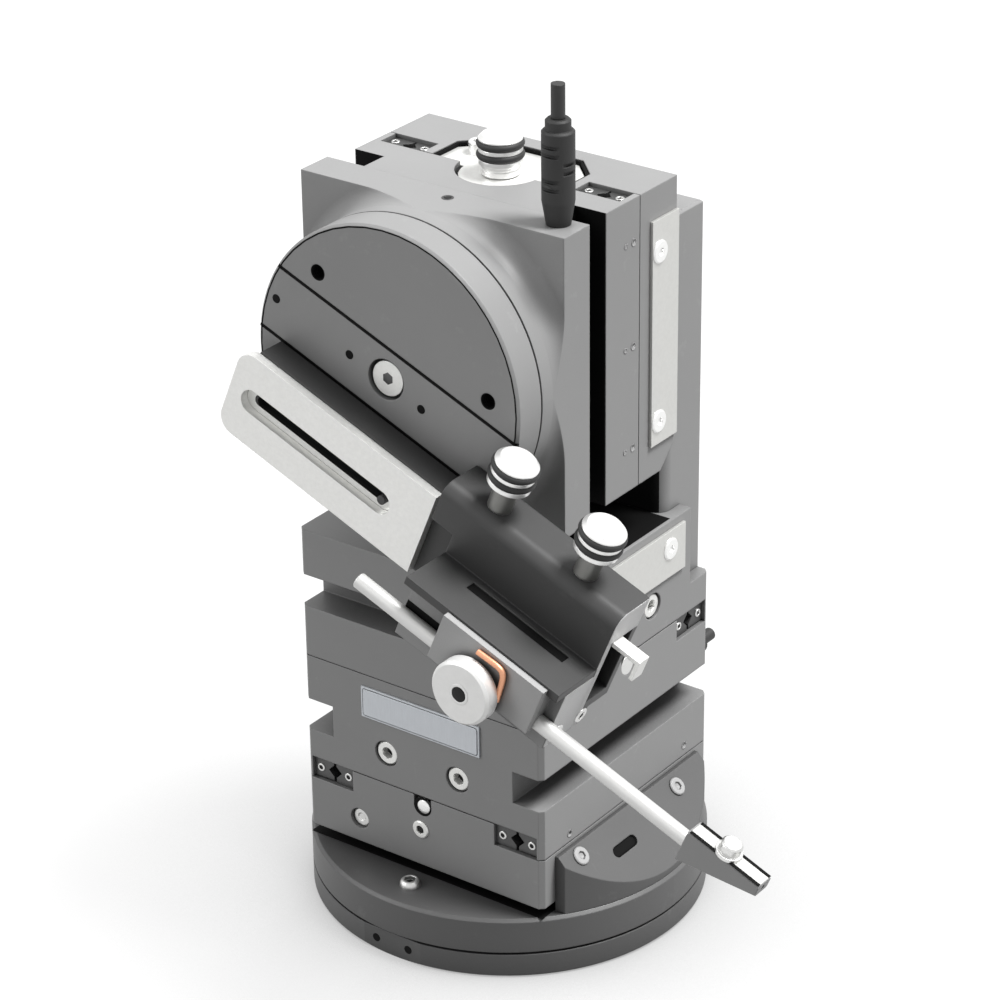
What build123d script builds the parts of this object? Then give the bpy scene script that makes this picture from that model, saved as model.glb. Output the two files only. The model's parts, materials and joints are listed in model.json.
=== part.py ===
"""Motorized micromanipulator: a turntable, three crossed-roller stages, a column and an approach head.

Millimetres, +Z up. The origin is the centre of the turntable's underside. The front is -Y.
Each stage is drawn in its own frame: x across the travel, y along it, z from base to carriage,
with the origin in the seam between base and skirt. The approach head is drawn in a tilted frame:
x along the approach, y across it, z out of the disc's face.
"""
import os
from math import cos, radians, sin, sqrt

from build123d import *

os.makedirs("parts", exist_ok=True)

# Turntable
turn_radius = 52.4
ring_height = 6.8
ring_land = 0.7
land_inset = 1.6
swivel_height = 9.7
pedestal_radius = 34.0
pedestal_height = 2.8
spigot_radius = 12.0
spigot_clearance = 0.05
retainer_radius = 17.0
retainer_height = 2.4
retainer_gap = 0.2
spigot_height = 6.3
flat_width = 18.0
rim_hole_radius = 0.8
rim_hole_spacing = 10.2
rim_hole_height = 3.6
rim_hole_depth = 4.0
bolt_circle = 80.0
bolt_hole_radius = 2.5
bolt_hole_depth = 5.5
turn_edge = 0.8

# One stage: the block sizes and the heights above its seam
side = 75.0
base_depth = 14.2
joint_height = 6.4
joint_gap = 0.3
seam_gap = 0.25
ledge_height = 14.4
notch_height = 9.0
notch_depth = 9.0
stage_pitch = 36.2
skirt_wall = 1.7
block_edge = 1.2

# Rails, rollers and cages
rail_width = 6.2
rail_height = 6.0
rail_gap = 0.8
rail_inset = 1.0
groove_depth = 1.7
roller_clearance = 0.085
roller_end_clearance = 0.18
cage_thickness = 0.4
cage_height = 5.2
cage_length = 54.0
roller_count = 5
roller_pitch = 11.2
window_clearance = 0.06

# Drive: motor, screw, nut
screw_height = 3.4
z_screw_height = 5.0
screw_radius = 1.9
journal_radius = 2.65
journal_length = 4.2
running_clearance = 0.05
motor_radius = 5.8
motor_length = 27.0
motor_boss_radius = 3.4
motor_boss_length = 2.0
motor_end_gap = 2.6
screw_engagement = 4.0
nut_width = 9.0
nut_length = 12.0
nut_place = -14.0
z_nut_place = -11.5
nut_wall = 1.0
channel_clearance = 0.3
travel = 20.0
end_margin = 1.5
end_wall = 2.0

# Screw holes and trims of the stages
cap_hole_radius = 3.6
cap_hole_depth = 3.0
cap_hole_spacing = 22.6
cap_hole_height = 15.2
plug_radius = 2.9
plug_depth = 2.0
plug_place = 20.7
plug_height = -7.4
label_width = 37.2
label_height = 8.8
label_thickness = 0.5
label_place = 28.6
housing_half_length = 32.0
housing_slope_top = 16.0
housing_slope_foot = 1.6
housing_shoulder = 1.0
socket_length = 10.0
socket_width = 3.0
socket_depth = 4.0
socket_place = -9.9
side_plate_length = 50.0
side_plate_height = 13.0
side_plate_thickness = 0.8
side_plate_low = 21.0

# Column and upright stage
column_half_width = 34.0
column_front = 20.3
column_top = 187.0
column_edge = 4.0
z_base_depth = 15.8
z_length = 77.0
z_centre = 161.3
z_face_thickness = 10.4
face_overhang = 0.5
z_foot_chamfer = 6.0
strip_length = 60.0
strip_width = 11.4
strip_thickness = 0.8
pocket_half_width = 20.0
pocket_back = 10.8
pocket_corner = 6.5
pocket_gap = 0.8
pocket_recess = 1.2
bearing_thickness = 8.0
bearing_nose_radius = 10.4
bearing_relief_radius = 11.3

# Knobs: the upright stage's hand knob and the two thumb screws
knob_radius = 5.5
knob_height = 7.4
knob_edge = 1.0
knob_stem_radius = 3.0
hand_stem_height = 3.0
thumb_stem_height = 7.5
knob_ring_radius = 0.9
knob_ring_sink = 0.5
knob_ring_low = 2.2
knob_ring_high = 5.1
knob_ring_gap = 0.05

# Cable stubs
boot_radius = 4.0
boot_height = 17.5
boot_foot_radius = 3.0
boot_foot_height = 6.0
boot_collar_radius = 3.1
boot_collar_height = 2.7
boot_edge = 0.5
boot_slot_count = 6
boot_slot_pitch = 2.1
boot_slot_start = 3.6
boot_slot_height = 0.9
boot_slot_depth = 0.9
boot_place_x = 32.6
boot_place_inset = 6.9
cable_radius = 1.7
cable_stub = 8.4
rear_gland_radius = 2.9
rear_gland_length = 3.0
rear_cable_stub = 5.0
rear_place_x = 33.0
rear_place_drop = 9.4

# Approach head
approach_angle = 22.5
disc_thickness = 9.5
disc_edge = 0.6
boss_height = 8.9
boss_flare = 4.6
groove_high = 8.0
groove_low = -10.0
groove_width = 1.0
groove_cut = 0.8
tilt_shaft_radius = 4.0
tilt_head_radius = 4.5
tilt_head_height = 2.8
tilt_recess_radius = 5.3
tilt_recess_depth = 3.6
tilt_socket_depth = 7.0
tapped_hole_radius = 2.1
tapped_hole_depth = 6.0
tapped_place_x = 27.0
tapped_place_y = 13.6
small_hole_radius = 1.0
small_hole_depth = 4.0
small_hole_place = 11.5
far_hole_place = 35.4
small_hole_drop = 0.7

# Slide: fixed guide on the disc, moving body, slotted bar
guide_neck = 2.8
guide_neck_half = 4.5
guide_depth = 3.0
guide_half = 8.0
guide_reach = 28.0
slide_clearance = 0.08
slide_back_gap = 0.4
slide_front = 8.3
slide_start = -30.0
slide_top = -10.0
slide_height = 25.0
slide_travel = 40.0
cavity_stop = 5.0
bar_thickness = 2.5
bar_height = 24.2
bar_start = -33.8
bar_end = 28.8
bar_corner = 4.5
bar_slot_width = 6.4
bar_slot_start = -29.8
bar_slot_end = 18.3
pin_radius = 1.2
pin_clearance = 0.3
pin_place = 15.0
pin_top = 9.9

# Slide carriage and rod block
carriage_start = 30.6
carriage_length = 53.4
carriage_top = -3.6
carriage_round = 3.5
carriage_front = 13.0
shelf_top = -20.0
shelf_thickness = 2.2
shelf_start = 37.2
carriage_step = -14.4
end_recess = 6.0
pocket_wall = 2.0
end_pocket_top = -12.4
end_pocket_bottom = -32.0
shelf_slot_width = 3.0
shelf_slot_place = 16.9
shelf_slot_depth = 4.5
shelf_slot_start = 48.0
shelf_slot_length = 29.5
near_thumb_place = 43.0
far_thumb_place = 69.5
thumb_place_out = 7.2
thumb_shank_radius = 2.4
thumb_shank_length = 6.0

# Rod and its clamp
rod_radius = 2.0
rod_length = 101.2
rod_start = 24.9
rod_out = 26.1
rod_drop = -32.2
rod_fit = 0.05
rod_block_front = 24.6
rod_block_start = 38.0
rod_block_bottom = -39.5
jaw_start = 50.5
jaw_length = 30.5
jaw_thickness = 1.9
jaw_top = -20.6
jaw_bottom = -34.0
jaw_slot_top = -28.2
jaw_slot_width = 4.6
eye_place = 64.0
eye_radius = 3.9
eye_thickness = 3.4
eye_pocket_clearance = 0.4
stud_radius = 2.0
stud_end = 33.2
collar_radius = 4.0
collar_height = 1.4
clamp_knob_radius = 8.2
clamp_knob_height = 4.0
clamp_knob_edge = 0.7
clamp_socket_radius = 1.75
clamp_socket_depth = 2.0
clip_width = 1.8
clip_thickness = 0.8
clip_left = 61.4
clip_right = 72.3
clip_top = -21.2
clip_bottom = -31.0

# Tip holder and end bracket
holder_length = 20.6
holder_neck_length = 2.6
holder_neck_radius = 1.2
holder_edge = 0.5
holder_half_width = 2.8
holder_tip_half_width = 2.6
holder_above = 4.7
holder_below = 4.9
holder_tip_height = 3.4
tip_bore_radius = 0.6
tip_bore_depth = 12.0
tip_screw_place = 9.8
tip_screw_radius = 2.6
tip_screw_height = 3.4
tip_washer_radius = 3.3
tip_washer_height = 0.9
tip_shank_radius = 1.0
bracket_low = 6.8
bracket_high = 10.8
bracket_reach = 8.2
bracket_thickness = 1.1
bracket_seat = 5.0
bracket_bottom = -18.2

# Heights and places that follow
swivel_bottom = ring_height + ring_land
swivel_top = swivel_bottom + swivel_height
pedestal_top = swivel_top + pedestal_height
y_seam = pedestal_top + base_depth
x_seam = y_seam + stage_pitch
block_top = x_seam + stage_pitch
half = side / 2
slot_outer = half - skirt_wall
notch_ceiling = ledge_height + notch_height
slot_inner = slot_outer - 2 * rail_width - rail_gap
centre_top = joint_height - joint_gap
column_back = half
z_seam_y = column_front - z_base_depth
z_face_y = z_seam_y - ledge_height - notch_height - z_face_thickness
disc_front_y = z_face_y - boss_height - disc_thickness

z_face_side = z_length + 2 * face_overhang
disc_radius = z_face_side / 2
diagonal = sqrt(2)

# Stage frames
y_stage = Plane(origin=(0, 0, y_seam), x_dir=(1, 0, 0), z_dir=(0, 0, 1))
x_stage = Plane(origin=(0, 0, x_seam), x_dir=(0, 1, 0), z_dir=(0, 0, 1))
z_stage = Plane(origin=(0, z_seam_y, z_centre), x_dir=(-1, 0, 0), z_dir=(0, -1, 0))

# Approach frame
along = Vector(cos(radians(approach_angle)), 0, -sin(radians(approach_angle)))
head = Plane(origin=(0, disc_front_y, z_centre), x_dir=along, z_dir=(0, -1, 0))


def save(piece, name):
    """Label a finished piece and write it under its name."""
    piece.part.label = name
    export_step(piece.part, f"parts/{name}.step")


def across(stage, y):
    """Plane across a stage at y along its travel, with x across and y up; it looks towards -y."""
    return Plane(origin=stage.from_local_coords(Vector(0, y, 0)), x_dir=stage.x_dir, z_dir=-stage.y_dir)


def head_section(u):
    """Plane across the approach at u along it, with x out of the disc and y across; it looks back."""
    return Plane(origin=head.from_local_coords(Vector(u, 0, 0)), x_dir=head.z_dir, z_dir=-head.x_dir)


def head_side(w):
    """Plane facing across the approach at w, with x along the approach and y into the disc."""
    return Plane(origin=head.from_local_coords(Vector(0, w, 0)), x_dir=head.x_dir, z_dir=head.y_dir)


def rectangle(x_low, x_high, y_low, y_high, mode=Mode.ADD):
    """Rectangle between two corners in the current sketch."""
    with Locations(((x_low + x_high) / 2, (y_low + y_high) / 2)):
        Rectangle(x_high - x_low, y_high - y_low, mode=mode)


# Turntable

with BuildPart() as base_ring:
    Cylinder(turn_radius, ring_height, align=(Align.CENTER, Align.CENTER, Align.MIN))
    with BuildSketch(Plane.XY.offset(ring_height)):
        Circle(turn_radius - land_inset)
    extrude(amount=ring_land)
    with BuildSketch(Plane.XY.offset(swivel_bottom)):
        Circle(spigot_radius)
    extrude(amount=spigot_height)
    chamfer(base_ring.edges().group_by(Axis.Z)[0], turn_edge)
    with BuildSketch():
        with PolarLocations(bolt_circle / 2, 4, start_angle=45):
            Circle(bolt_hole_radius)
    extrude(amount=bolt_hole_depth, mode=Mode.SUBTRACT)
    flat_depth = turn_radius - sqrt(turn_radius**2 - (flat_width / 2) ** 2)
    with BuildSketch(Plane.XZ.offset(turn_radius)):
        rectangle(-flat_width / 2, flat_width / 2, 0, ring_height)
    extrude(amount=-flat_depth, mode=Mode.SUBTRACT)
    with BuildSketch(Plane.XZ.offset(turn_radius - flat_depth)):
        with Locations((0, rim_hole_height)):
            with GridLocations(rim_hole_spacing, 1, 2, 1):
                Circle(rim_hole_radius)
    extrude(amount=-rim_hole_depth, mode=Mode.SUBTRACT)
save(base_ring, "base_ring")

with BuildPart() as swivel_plate:
    with BuildSketch(Plane.XY.offset(swivel_bottom)):
        Circle(turn_radius)
    extrude(amount=swivel_height)
    chamfer(swivel_plate.edges().group_by(Axis.Z)[-1], turn_edge)
    with BuildSketch(Plane.XY.offset(swivel_top)):
        Circle(pedestal_radius)
    extrude(amount=pedestal_height)
    with BuildSketch(Plane.XY.offset(swivel_bottom)):
        Circle(spigot_radius + spigot_clearance)
    extrude(amount=spigot_height, mode=Mode.SUBTRACT)
    with BuildSketch(Plane.XY.offset(swivel_bottom + spigot_height - retainer_gap)):
        Circle(retainer_radius + retainer_gap)
    extrude(amount=pedestal_top - swivel_bottom, mode=Mode.SUBTRACT)
save(swivel_plate, "swivel_plate")

with BuildPart() as turn_retainer:
    with BuildSketch(Plane.XY.offset(swivel_bottom + spigot_height)):
        Circle(retainer_radius)
    extrude(amount=retainer_height)
save(turn_retainer, "turn_retainer")

housing_radius = turn_radius - turn_edge
with BuildPart() as connector_housing:
    with BuildSketch(Plane.XZ.offset(-housing_half_length)):
        with BuildLine():
            Polyline(
                (half, swivel_top),
                (housing_radius, swivel_top),
                (housing_radius, swivel_top + housing_slope_foot),
                (half + housing_shoulder, swivel_top + housing_slope_top),
                (half, swivel_top + housing_slope_top),
                close=True,
            )
        make_face()
    extrude(amount=2 * housing_half_length)
    with BuildSketch(Plane.XY.offset(swivel_top)):
        Circle(housing_radius)
    extrude(amount=housing_slope_top, mode=Mode.INTERSECT)
    slope = connector_housing.faces().filter_by(GeomType.PLANE).sort_by(
        lambda f: f.normal_at().X * f.normal_at().Z
    )[-1]
    slope_plane = Plane(origin=slope.center(), x_dir=(0, 1, 0), z_dir=slope.normal_at())
    with BuildSketch(slope_plane):
        with Locations((socket_place - slope.center().Y, 0)):
            SlotOverall(socket_length, socket_width)
    extrude(amount=-socket_depth, mode=Mode.SUBTRACT)
save(connector_housing, "connector_housing")


# Stage pieces

def base_sketch(depth):
    """Outline of a stage's base: the block below the seam and the raised centre between the rails."""
    rectangle(-half, half, -depth, 0)
    rectangle(-slot_inner, slot_inner, 0, centre_top)


def skirt_sketch():
    """Outline of a carriage up to its side notches: skirts, body and the neck above the ledge."""
    rectangle(-half, half, joint_height, ledge_height)
    rectangle(-half, -slot_outer, seam_gap, joint_height)
    rectangle(slot_outer, half, seam_gap, joint_height)
    rectangle(-half + notch_depth, half - notch_depth, ledge_height, notch_ceiling)


def corner_edges(piece):
    """Upright edges at the four outer corners of a square block."""
    inside = half - skirt_wall / 2
    upright = piece.edges().filter_by(Axis.Z)
    return upright.filter_by(lambda e: min(abs(e.center().X), abs(e.center().Y)) > inside)


def cut_drive_channel(stage, length, height):
    """Cut the trough for motor, screw and nut, with the open seat for the screw's front journal."""
    trough = motor_radius + channel_clearance
    with BuildSketch(across(stage, length / 2 - end_wall)) as profile:
        rectangle(-trough, trough, height - trough, ledge_height)
    extrude(profile.sketch, amount=length - end_wall - journal_length, mode=Mode.SUBTRACT)
    seat = journal_radius + running_clearance
    with BuildSketch(across(stage, 0)) as profile:
        with Locations((0, height)):
            Circle(seat)
        rectangle(-seat, seat, height, ledge_height)
    extrude(profile.sketch, amount=length / 2, mode=Mode.SUBTRACT)


def cut_carriage_relief(stage, length, height):
    """Cut the carriage's underside where it passes over the motor, open at the back end."""
    trough = motor_radius + channel_clearance
    reach = motor_place(length) - motor_boss_length - travel / 2 - end_margin
    with BuildSketch(across(stage, length / 2)) as profile:
        rectangle(-trough, trough, joint_height, height + trough)
    extrude(profile.sketch, amount=length / 2 - reach, mode=Mode.SUBTRACT)


def cut_cap_holes(stage, length):
    """Cut the two screw recesses in the carriage's front end."""
    with BuildSketch(across(stage, -length / 2)) as profile:
        with Locations((0, cap_hole_height)):
            with GridLocations(cap_hole_spacing, 1, 2, 1):
                Circle(cap_hole_radius)
    extrude(profile.sketch, amount=-cap_hole_depth, mode=Mode.SUBTRACT)


def motor_place(length):
    """Distance along the travel to the front of the motor's body."""
    return length / 2 - motor_end_gap - motor_length


def make_rails(stage, length, axis):
    """Two pairs of grooved rails, one on the base and one in the carriage."""
    centre = slot_inner + rail_width + rail_gap / 2
    groove_height = joint_height / 2
    for name, inner, outer, low, side_sign in (
        ("fixed", slot_inner, slot_inner + rail_width, 0.0, -1),
        ("moving", slot_outer - rail_width, slot_outer, joint_height - rail_height, 1),
    ):
        face = centre + side_sign * rail_gap / 2
        with BuildPart() as rails:
            with BuildSketch(across(stage, length / 2 - rail_inset)):
                for hand in (-1, 1):
                    near, far = sorted((hand * inner, hand * outer))
                    rectangle(near, far, low, low + rail_height)
                    with BuildLine():
                        Polyline(
                            (hand * face, groove_height + groove_depth),
                            (hand * (face + side_sign * groove_depth), groove_height),
                            (hand * face, groove_height - groove_depth),
                            close=True,
                        )
                    make_face(mode=Mode.SUBTRACT)
            extrude(amount=length - 2 * rail_inset)
        save(rails, f"{axis}_{name}_rails")


def make_cages(stage, axis):
    """Two strips with windows, each holding rollers whose axes cross in turn."""
    centre = slot_inner + rail_width + rail_gap / 2
    height = joint_height / 2
    square = (2 * groove_depth + rail_gap) / diagonal
    roller_radius = square / 2 - roller_clearance
    roller_length = square - 2 * roller_end_clearance
    window_width = 2 * (roller_radius + window_clearance)
    window_height = 2 * diagonal * (roller_radius + window_clearance)
    places = [(index - (roller_count - 1) / 2) * roller_pitch for index in range(roller_count)]
    with BuildPart(stage) as cages:
        for hand in (-1, 1):
            with Locations((hand * centre, 0, height)):
                Box(cage_thickness, cage_length, cage_height)
            for place in places:
                with Locations((hand * centre, place, height)):
                    Box(2 * cage_thickness, window_width, window_height, mode=Mode.SUBTRACT)
        for hand in (-1, 1):
            for index, place in enumerate(places):
                lean = 45 if index % 2 else -45
                with Locations(Location((hand * centre, place, height), (0, lean, 0))):
                    Cylinder(roller_radius, roller_length)
    save(cages, f"{axis}_roller_cages")


def make_motor(stage, length, height, axis):
    """Round gear motor with a front boss that the screw's end runs in."""
    front = motor_place(length)
    with BuildPart() as motor:
        with BuildSketch(across(stage, front + motor_length)):
            with Locations((0, height)):
                Circle(motor_radius)
        extrude(amount=motor_length)
        with BuildSketch(across(stage, front)):
            with Locations((0, height)):
                Circle(motor_boss_radius)
        extrude(amount=motor_boss_length)
        with BuildSketch(across(stage, front - motor_boss_length)):
            with Locations((0, height)):
                Circle(screw_radius + running_clearance)
        extrude(amount=-screw_engagement, mode=Mode.SUBTRACT)
    save(motor, f"{axis}_motor")


def make_screw(stage, length, height, axis, journal, end):
    """Lead screw from inside the motor's boss to its front journal, which runs from journal to end."""
    start = motor_place(length) - motor_boss_length + screw_engagement - channel_clearance
    with BuildPart() as screw:
        with BuildSketch(across(stage, start)):
            with Locations((0, height)):
                Circle(screw_radius)
        extrude(amount=start - journal)
        with BuildSketch(across(stage, journal)):
            with Locations((0, height)):
                Circle(journal_radius)
        extrude(amount=journal - end)
    save(screw, f"{axis}_screw")


def make_nut(stage, place, height, top, axis):
    """Nut block that hangs from the carriage's underside on the lead screw."""
    wall = screw_radius + nut_wall
    with BuildPart() as nut:
        with BuildSketch(across(stage, place + nut_length / 2)):
            rectangle(-nut_width / 2, nut_width / 2, height - wall, top)
            with Locations((0, height)):
                Circle(screw_radius + running_clearance, mode=Mode.SUBTRACT)
        extrude(amount=nut_length)
    save(nut, f"{axis}_nut")


def make_flat_drive(stage, axis):
    """All inner pieces of one of the two square stages."""
    make_rails(stage, side, axis)
    make_cages(stage, axis)
    make_motor(stage, side, screw_height, axis)
    make_screw(stage, side, screw_height, axis, journal_length - half, -half)
    make_nut(stage, nut_place, screw_height, joint_height, axis)


with BuildPart() as y_base:
    with BuildSketch(across(y_stage, half)):
        base_sketch(base_depth)
    extrude(amount=side)
    chamfer(corner_edges(y_base), block_edge)
    cut_drive_channel(y_stage, side, screw_height)
    with BuildSketch(across(y_stage, -half)):
        with Locations((-plug_place, plug_height)):
            Circle(plug_radius)
    extrude(amount=-plug_depth, mode=Mode.SUBTRACT)
save(y_base, "y_base")
make_flat_drive(y_stage, "y")

with BuildPart() as middle_block:
    with BuildSketch(across(y_stage, half)):
        skirt_sketch()
        rectangle(-half, half, notch_ceiling, stage_pitch)
    extrude(amount=side)
    chamfer(corner_edges(middle_block), block_edge)
    with BuildSketch(across(x_stage, half)):
        rectangle(-slot_inner, slot_inner, 0, centre_top)
    extrude(amount=side)
    cut_drive_channel(x_stage, side, screw_height)
    cut_carriage_relief(y_stage, side, screw_height)
    cut_cap_holes(y_stage, side)
save(middle_block, "middle_block")
make_flat_drive(x_stage, "x")

with BuildPart() as label_plate:
    with BuildSketch(across(y_stage, -half)):
        with Locations((0, label_place)):
            Rectangle(label_width, label_height)
    extrude(amount=label_thickness)
save(label_plate, "label_plate")

with BuildPart() as upper_block:
    with BuildSketch(across(x_stage, half)):
        skirt_sketch()
        rectangle(-half, half - notch_depth, notch_ceiling, stage_pitch)
    extrude(amount=side)
    chamfer(corner_edges(upper_block), block_edge)
    cut_carriage_relief(x_stage, side, screw_height)
    cut_cap_holes(x_stage, side)
save(upper_block, "upper_block")

with BuildPart() as side_plate:
    with BuildSketch(across(x_stage, -half)):
        rectangle(
            -side_plate_length / 2, side_plate_length / 2, side_plate_low, side_plate_low + side_plate_height
        )
    extrude(amount=side_plate_thickness)
save(side_plate, "side_plate")

# Column

with BuildPart() as column:
    with BuildSketch(Plane.YZ.offset(-column_half_width)):
        with BuildLine():
            Polyline(
                (column_front, block_top),
                (column_front, column_top),
                (column_back, column_top),
                (column_back, x_seam + ledge_height),
                (half - notch_depth, x_seam + ledge_height),
                (half - notch_depth, block_top),
                close=True,
            )
        make_face()
    extrude(amount=2 * column_half_width)
    fillet(column.edges().filter_by(Axis.Z).group_by(Axis.Y)[0], column_edge)
    chamfer(column.edges().group_by(Axis.Z)[-1], block_edge / 2)
save(column, "column")

# Upright stage

with BuildPart() as z_base:
    with BuildSketch(across(z_stage, z_length / 2)):
        base_sketch(z_base_depth)
    extrude(amount=z_length)
    cut_drive_channel(z_stage, z_length, z_screw_height)
    with BuildSketch(across(z_stage, -z_length / 2)):
        with BuildLine():
            Polyline(
                (-pocket_half_width, joint_height),
                (-pocket_half_width, pocket_corner - pocket_back),
                (pocket_corner - pocket_half_width, -pocket_back),
                (pocket_half_width - pocket_corner, -pocket_back),
                (pocket_half_width, pocket_corner - pocket_back),
                (pocket_half_width, joint_height),
                close=True,
            )
        make_face()
    extrude(amount=-bearing_thickness - pocket_recess, mode=Mode.SUBTRACT)
    low_back = z_base.edges().filter_by(Axis.X).group_by(Axis.Z)[0].sort_by(Axis.Y)[-1]
    chamfer(low_back, z_foot_chamfer)
save(z_base, "z_base")
make_rails(z_stage, z_length, "z")
make_cages(z_stage, "z")
make_motor(z_stage, z_length, z_screw_height, "z")
z_journal = z_length / 2 - pocket_recess - bearing_thickness
z_journal_end = z_length / 2 - pocket_recess + running_clearance
make_screw(z_stage, z_length, z_screw_height, "z", -z_journal, -z_journal_end)
z_relief_top = z_screw_height + nut_width / 2
make_nut(z_stage, z_nut_place, z_screw_height, z_relief_top, "z")

with BuildPart() as z_bearing_plate:
    inner_half = pocket_half_width - pocket_gap
    inner_back = pocket_back - pocket_gap
    with BuildSketch(across(z_stage, -z_length / 2 + pocket_recess)):
        with BuildLine():
            Polyline(
                (-inner_half, centre_top),
                (-inner_half, pocket_corner - inner_back),
                (pocket_corner - inner_half, -inner_back),
                (inner_half - pocket_corner, -inner_back),
                (inner_half, pocket_corner - inner_back),
                (inner_half, centre_top),
                close=True,
            )
        make_face()
        with Locations((0, z_screw_height)):
            Circle(bearing_nose_radius)
            Circle(journal_radius + running_clearance, mode=Mode.SUBTRACT)
    extrude(amount=-bearing_thickness)
save(z_bearing_plate, "z_bearing_plate")

with BuildPart() as z_strip:
    with BuildSketch(Plane.YZ.offset(half)):
        rectangle(
            column_front - strip_width,
            column_front,
            z_centre - strip_length / 2,
            z_centre + strip_length / 2,
        )
    extrude(amount=strip_thickness)
save(z_strip, "z_strip")

face_back_y = z_face_y + z_face_thickness
with BuildPart() as z_carriage:
    with BuildSketch(Plane.XZ.offset(-face_back_y)):
        with Locations((0, z_centre)):
            Rectangle(z_face_side, z_face_side)
    extrude(amount=z_face_thickness + boss_height)
    with BuildSketch(Plane(origin=(0, 0, z_centre), x_dir=(1, 0, 0), z_dir=(0, 0, 1))):
        with BuildLine():
            wide = z_face_side
            front = z_face_y - boss_height
            Line((wide, front), (disc_radius, front))
            Line((disc_radius, front), (disc_radius, z_face_y - boss_flare))
            RadiusArc((disc_radius, z_face_y - boss_flare), (disc_radius + boss_flare, z_face_y), boss_flare)
            Line((disc_radius + boss_flare, z_face_y), (wide, z_face_y))
            Line((wide, z_face_y), (wide, front))
        make_face()
    revolve(axis=Axis((0, 0, z_centre), (0, 1, 0)), mode=Mode.SUBTRACT)
    with BuildSketch(across(z_stage, z_length / 2)):
        skirt_sketch()
    extrude(amount=z_length)
    cut_carriage_relief(z_stage, z_length, z_screw_height)
    with BuildSketch(across(z_stage, -z_face_side / 2)):
        with Locations((0, z_screw_height)):
            Circle(bearing_relief_radius)
    extrude(amount=-bearing_thickness - travel / 2 - end_margin - pocket_recess, mode=Mode.SUBTRACT)
    with BuildSketch(across(z_stage, 0)):
        rectangle(-nut_width / 2, nut_width / 2, joint_height, z_relief_top)
    extrude(amount=z_length / 2, both=True, mode=Mode.SUBTRACT)
    with BuildSketch(Plane.XZ.offset(-z_face_y + boss_height)):
        with Locations((0, z_centre)):
            Circle(tilt_shaft_radius + running_clearance)
    extrude(amount=-tilt_socket_depth, mode=Mode.SUBTRACT)
save(z_carriage, "z_carriage")


# Knobs

def make_knob(plane, stem_height, shank_length, name):
    """Round knob on a stem with two grooves that hold rubber rings; the plane is the stem's foot."""
    ring_centre = knob_radius - knob_ring_sink
    with BuildPart() as knob:
        with BuildSketch(plane):
            Circle(knob_stem_radius)
        extrude(amount=stem_height)
        with BuildSketch(plane.offset(stem_height)):
            Circle(knob_radius)
        extrude(amount=knob_height)
        chamfer(knob.faces().sort_by(Axis(plane.origin, plane.z_dir))[-1].edges(), knob_edge)
        if shank_length:
            with BuildSketch(plane):
                Circle(thumb_shank_radius)
            extrude(amount=-shank_length)
        for height in (knob_ring_low, knob_ring_high):
            with BuildSketch(plane.offset(stem_height + height - knob_ring_radius - knob_ring_gap)):
                Circle(knob_radius + knob_edge)
                Circle(ring_centre - knob_ring_radius - knob_ring_gap, mode=Mode.SUBTRACT)
            extrude(amount=2 * (knob_ring_radius + knob_ring_gap), mode=Mode.SUBTRACT)
    save(knob, name)
    # Six-sided section, which keeps the rings' facets few
    with BuildPart() as rings:
        for height in (knob_ring_low, knob_ring_high):
            centre = plane.offset(stem_height + height)
            section = Plane(origin=centre.origin, x_dir=centre.x_dir, z_dir=-centre.y_dir)
            with BuildSketch(section) as profile:
                with Locations((ring_centre, 0)):
                    RegularPolygon(knob_ring_radius, 6)
            revolve(profile.sketch, axis=Axis(centre.origin, centre.z_dir))
    save(rings, f"{name}_rings")


knob_foot = z_stage.from_local_coords(Vector(0, -z_journal_end, z_screw_height))
make_knob(Plane(origin=knob_foot, x_dir=(1, 0, 0), z_dir=(0, 0, 1)), hand_stem_height, 0, "z_knob")

# Cable stubs

boot_y = z_face_y + boot_place_inset
face_top = z_centre + z_face_side / 2
boot_top = face_top + boot_foot_height + boot_height
with BuildPart() as top_boot:
    with BuildSketch(Plane(origin=(boot_place_x, boot_y, 0), x_dir=(1, 0, 0), z_dir=(0, -1, 0))):
        with BuildLine():
            Polyline(
                (0, face_top),
                (boot_foot_radius, face_top),
                (boot_radius, face_top + boot_foot_height),
                (boot_radius, boot_top - boot_edge),
                (boot_radius - boot_edge, boot_top),
                (boot_collar_radius, boot_top),
                (boot_collar_radius, boot_top + boot_collar_height - boot_edge),
                (boot_collar_radius - boot_edge, boot_top + boot_collar_height),
                (0, boot_top + boot_collar_height),
                close=True,
            )
        make_face()
    revolve(axis=Axis((boot_place_x, boot_y, 0), (0, 0, 1)))
    # Slots in pairs, on the front and back and then on the sides, which let the boot bend
    for index in range(boot_slot_count):
        slot_height = boot_top - boot_slot_start - index * boot_slot_pitch
        turn = 90 * (index // 2)
        with Locations(Location((boot_place_x, boot_y, slot_height), (0, 0, turn))):
            with Locations((0, -boot_radius, 0), (0, boot_radius, 0)):
                Box(2 * boot_radius, 2 * boot_slot_depth, boot_slot_height, mode=Mode.SUBTRACT)
save(top_boot, "top_boot")

with BuildPart() as top_cable:
    with BuildSketch(Plane(origin=(boot_place_x, boot_y, boot_top + boot_collar_height))):
        Circle(cable_radius)
    extrude(amount=cable_stub)
save(top_cable, "top_cable")

rear_plane = Plane(origin=(rear_place_x, half, x_seam - rear_place_drop), x_dir=(-1, 0, 0), z_dir=(0, 1, 0))
with BuildPart() as rear_gland:
    with BuildSketch(rear_plane):
        Circle(rear_gland_radius)
    extrude(amount=rear_gland_length)
    chamfer(rear_gland.faces().sort_by(Axis.Y)[-1].edges(), block_edge / 2)
save(rear_gland, "rear_gland")

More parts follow.
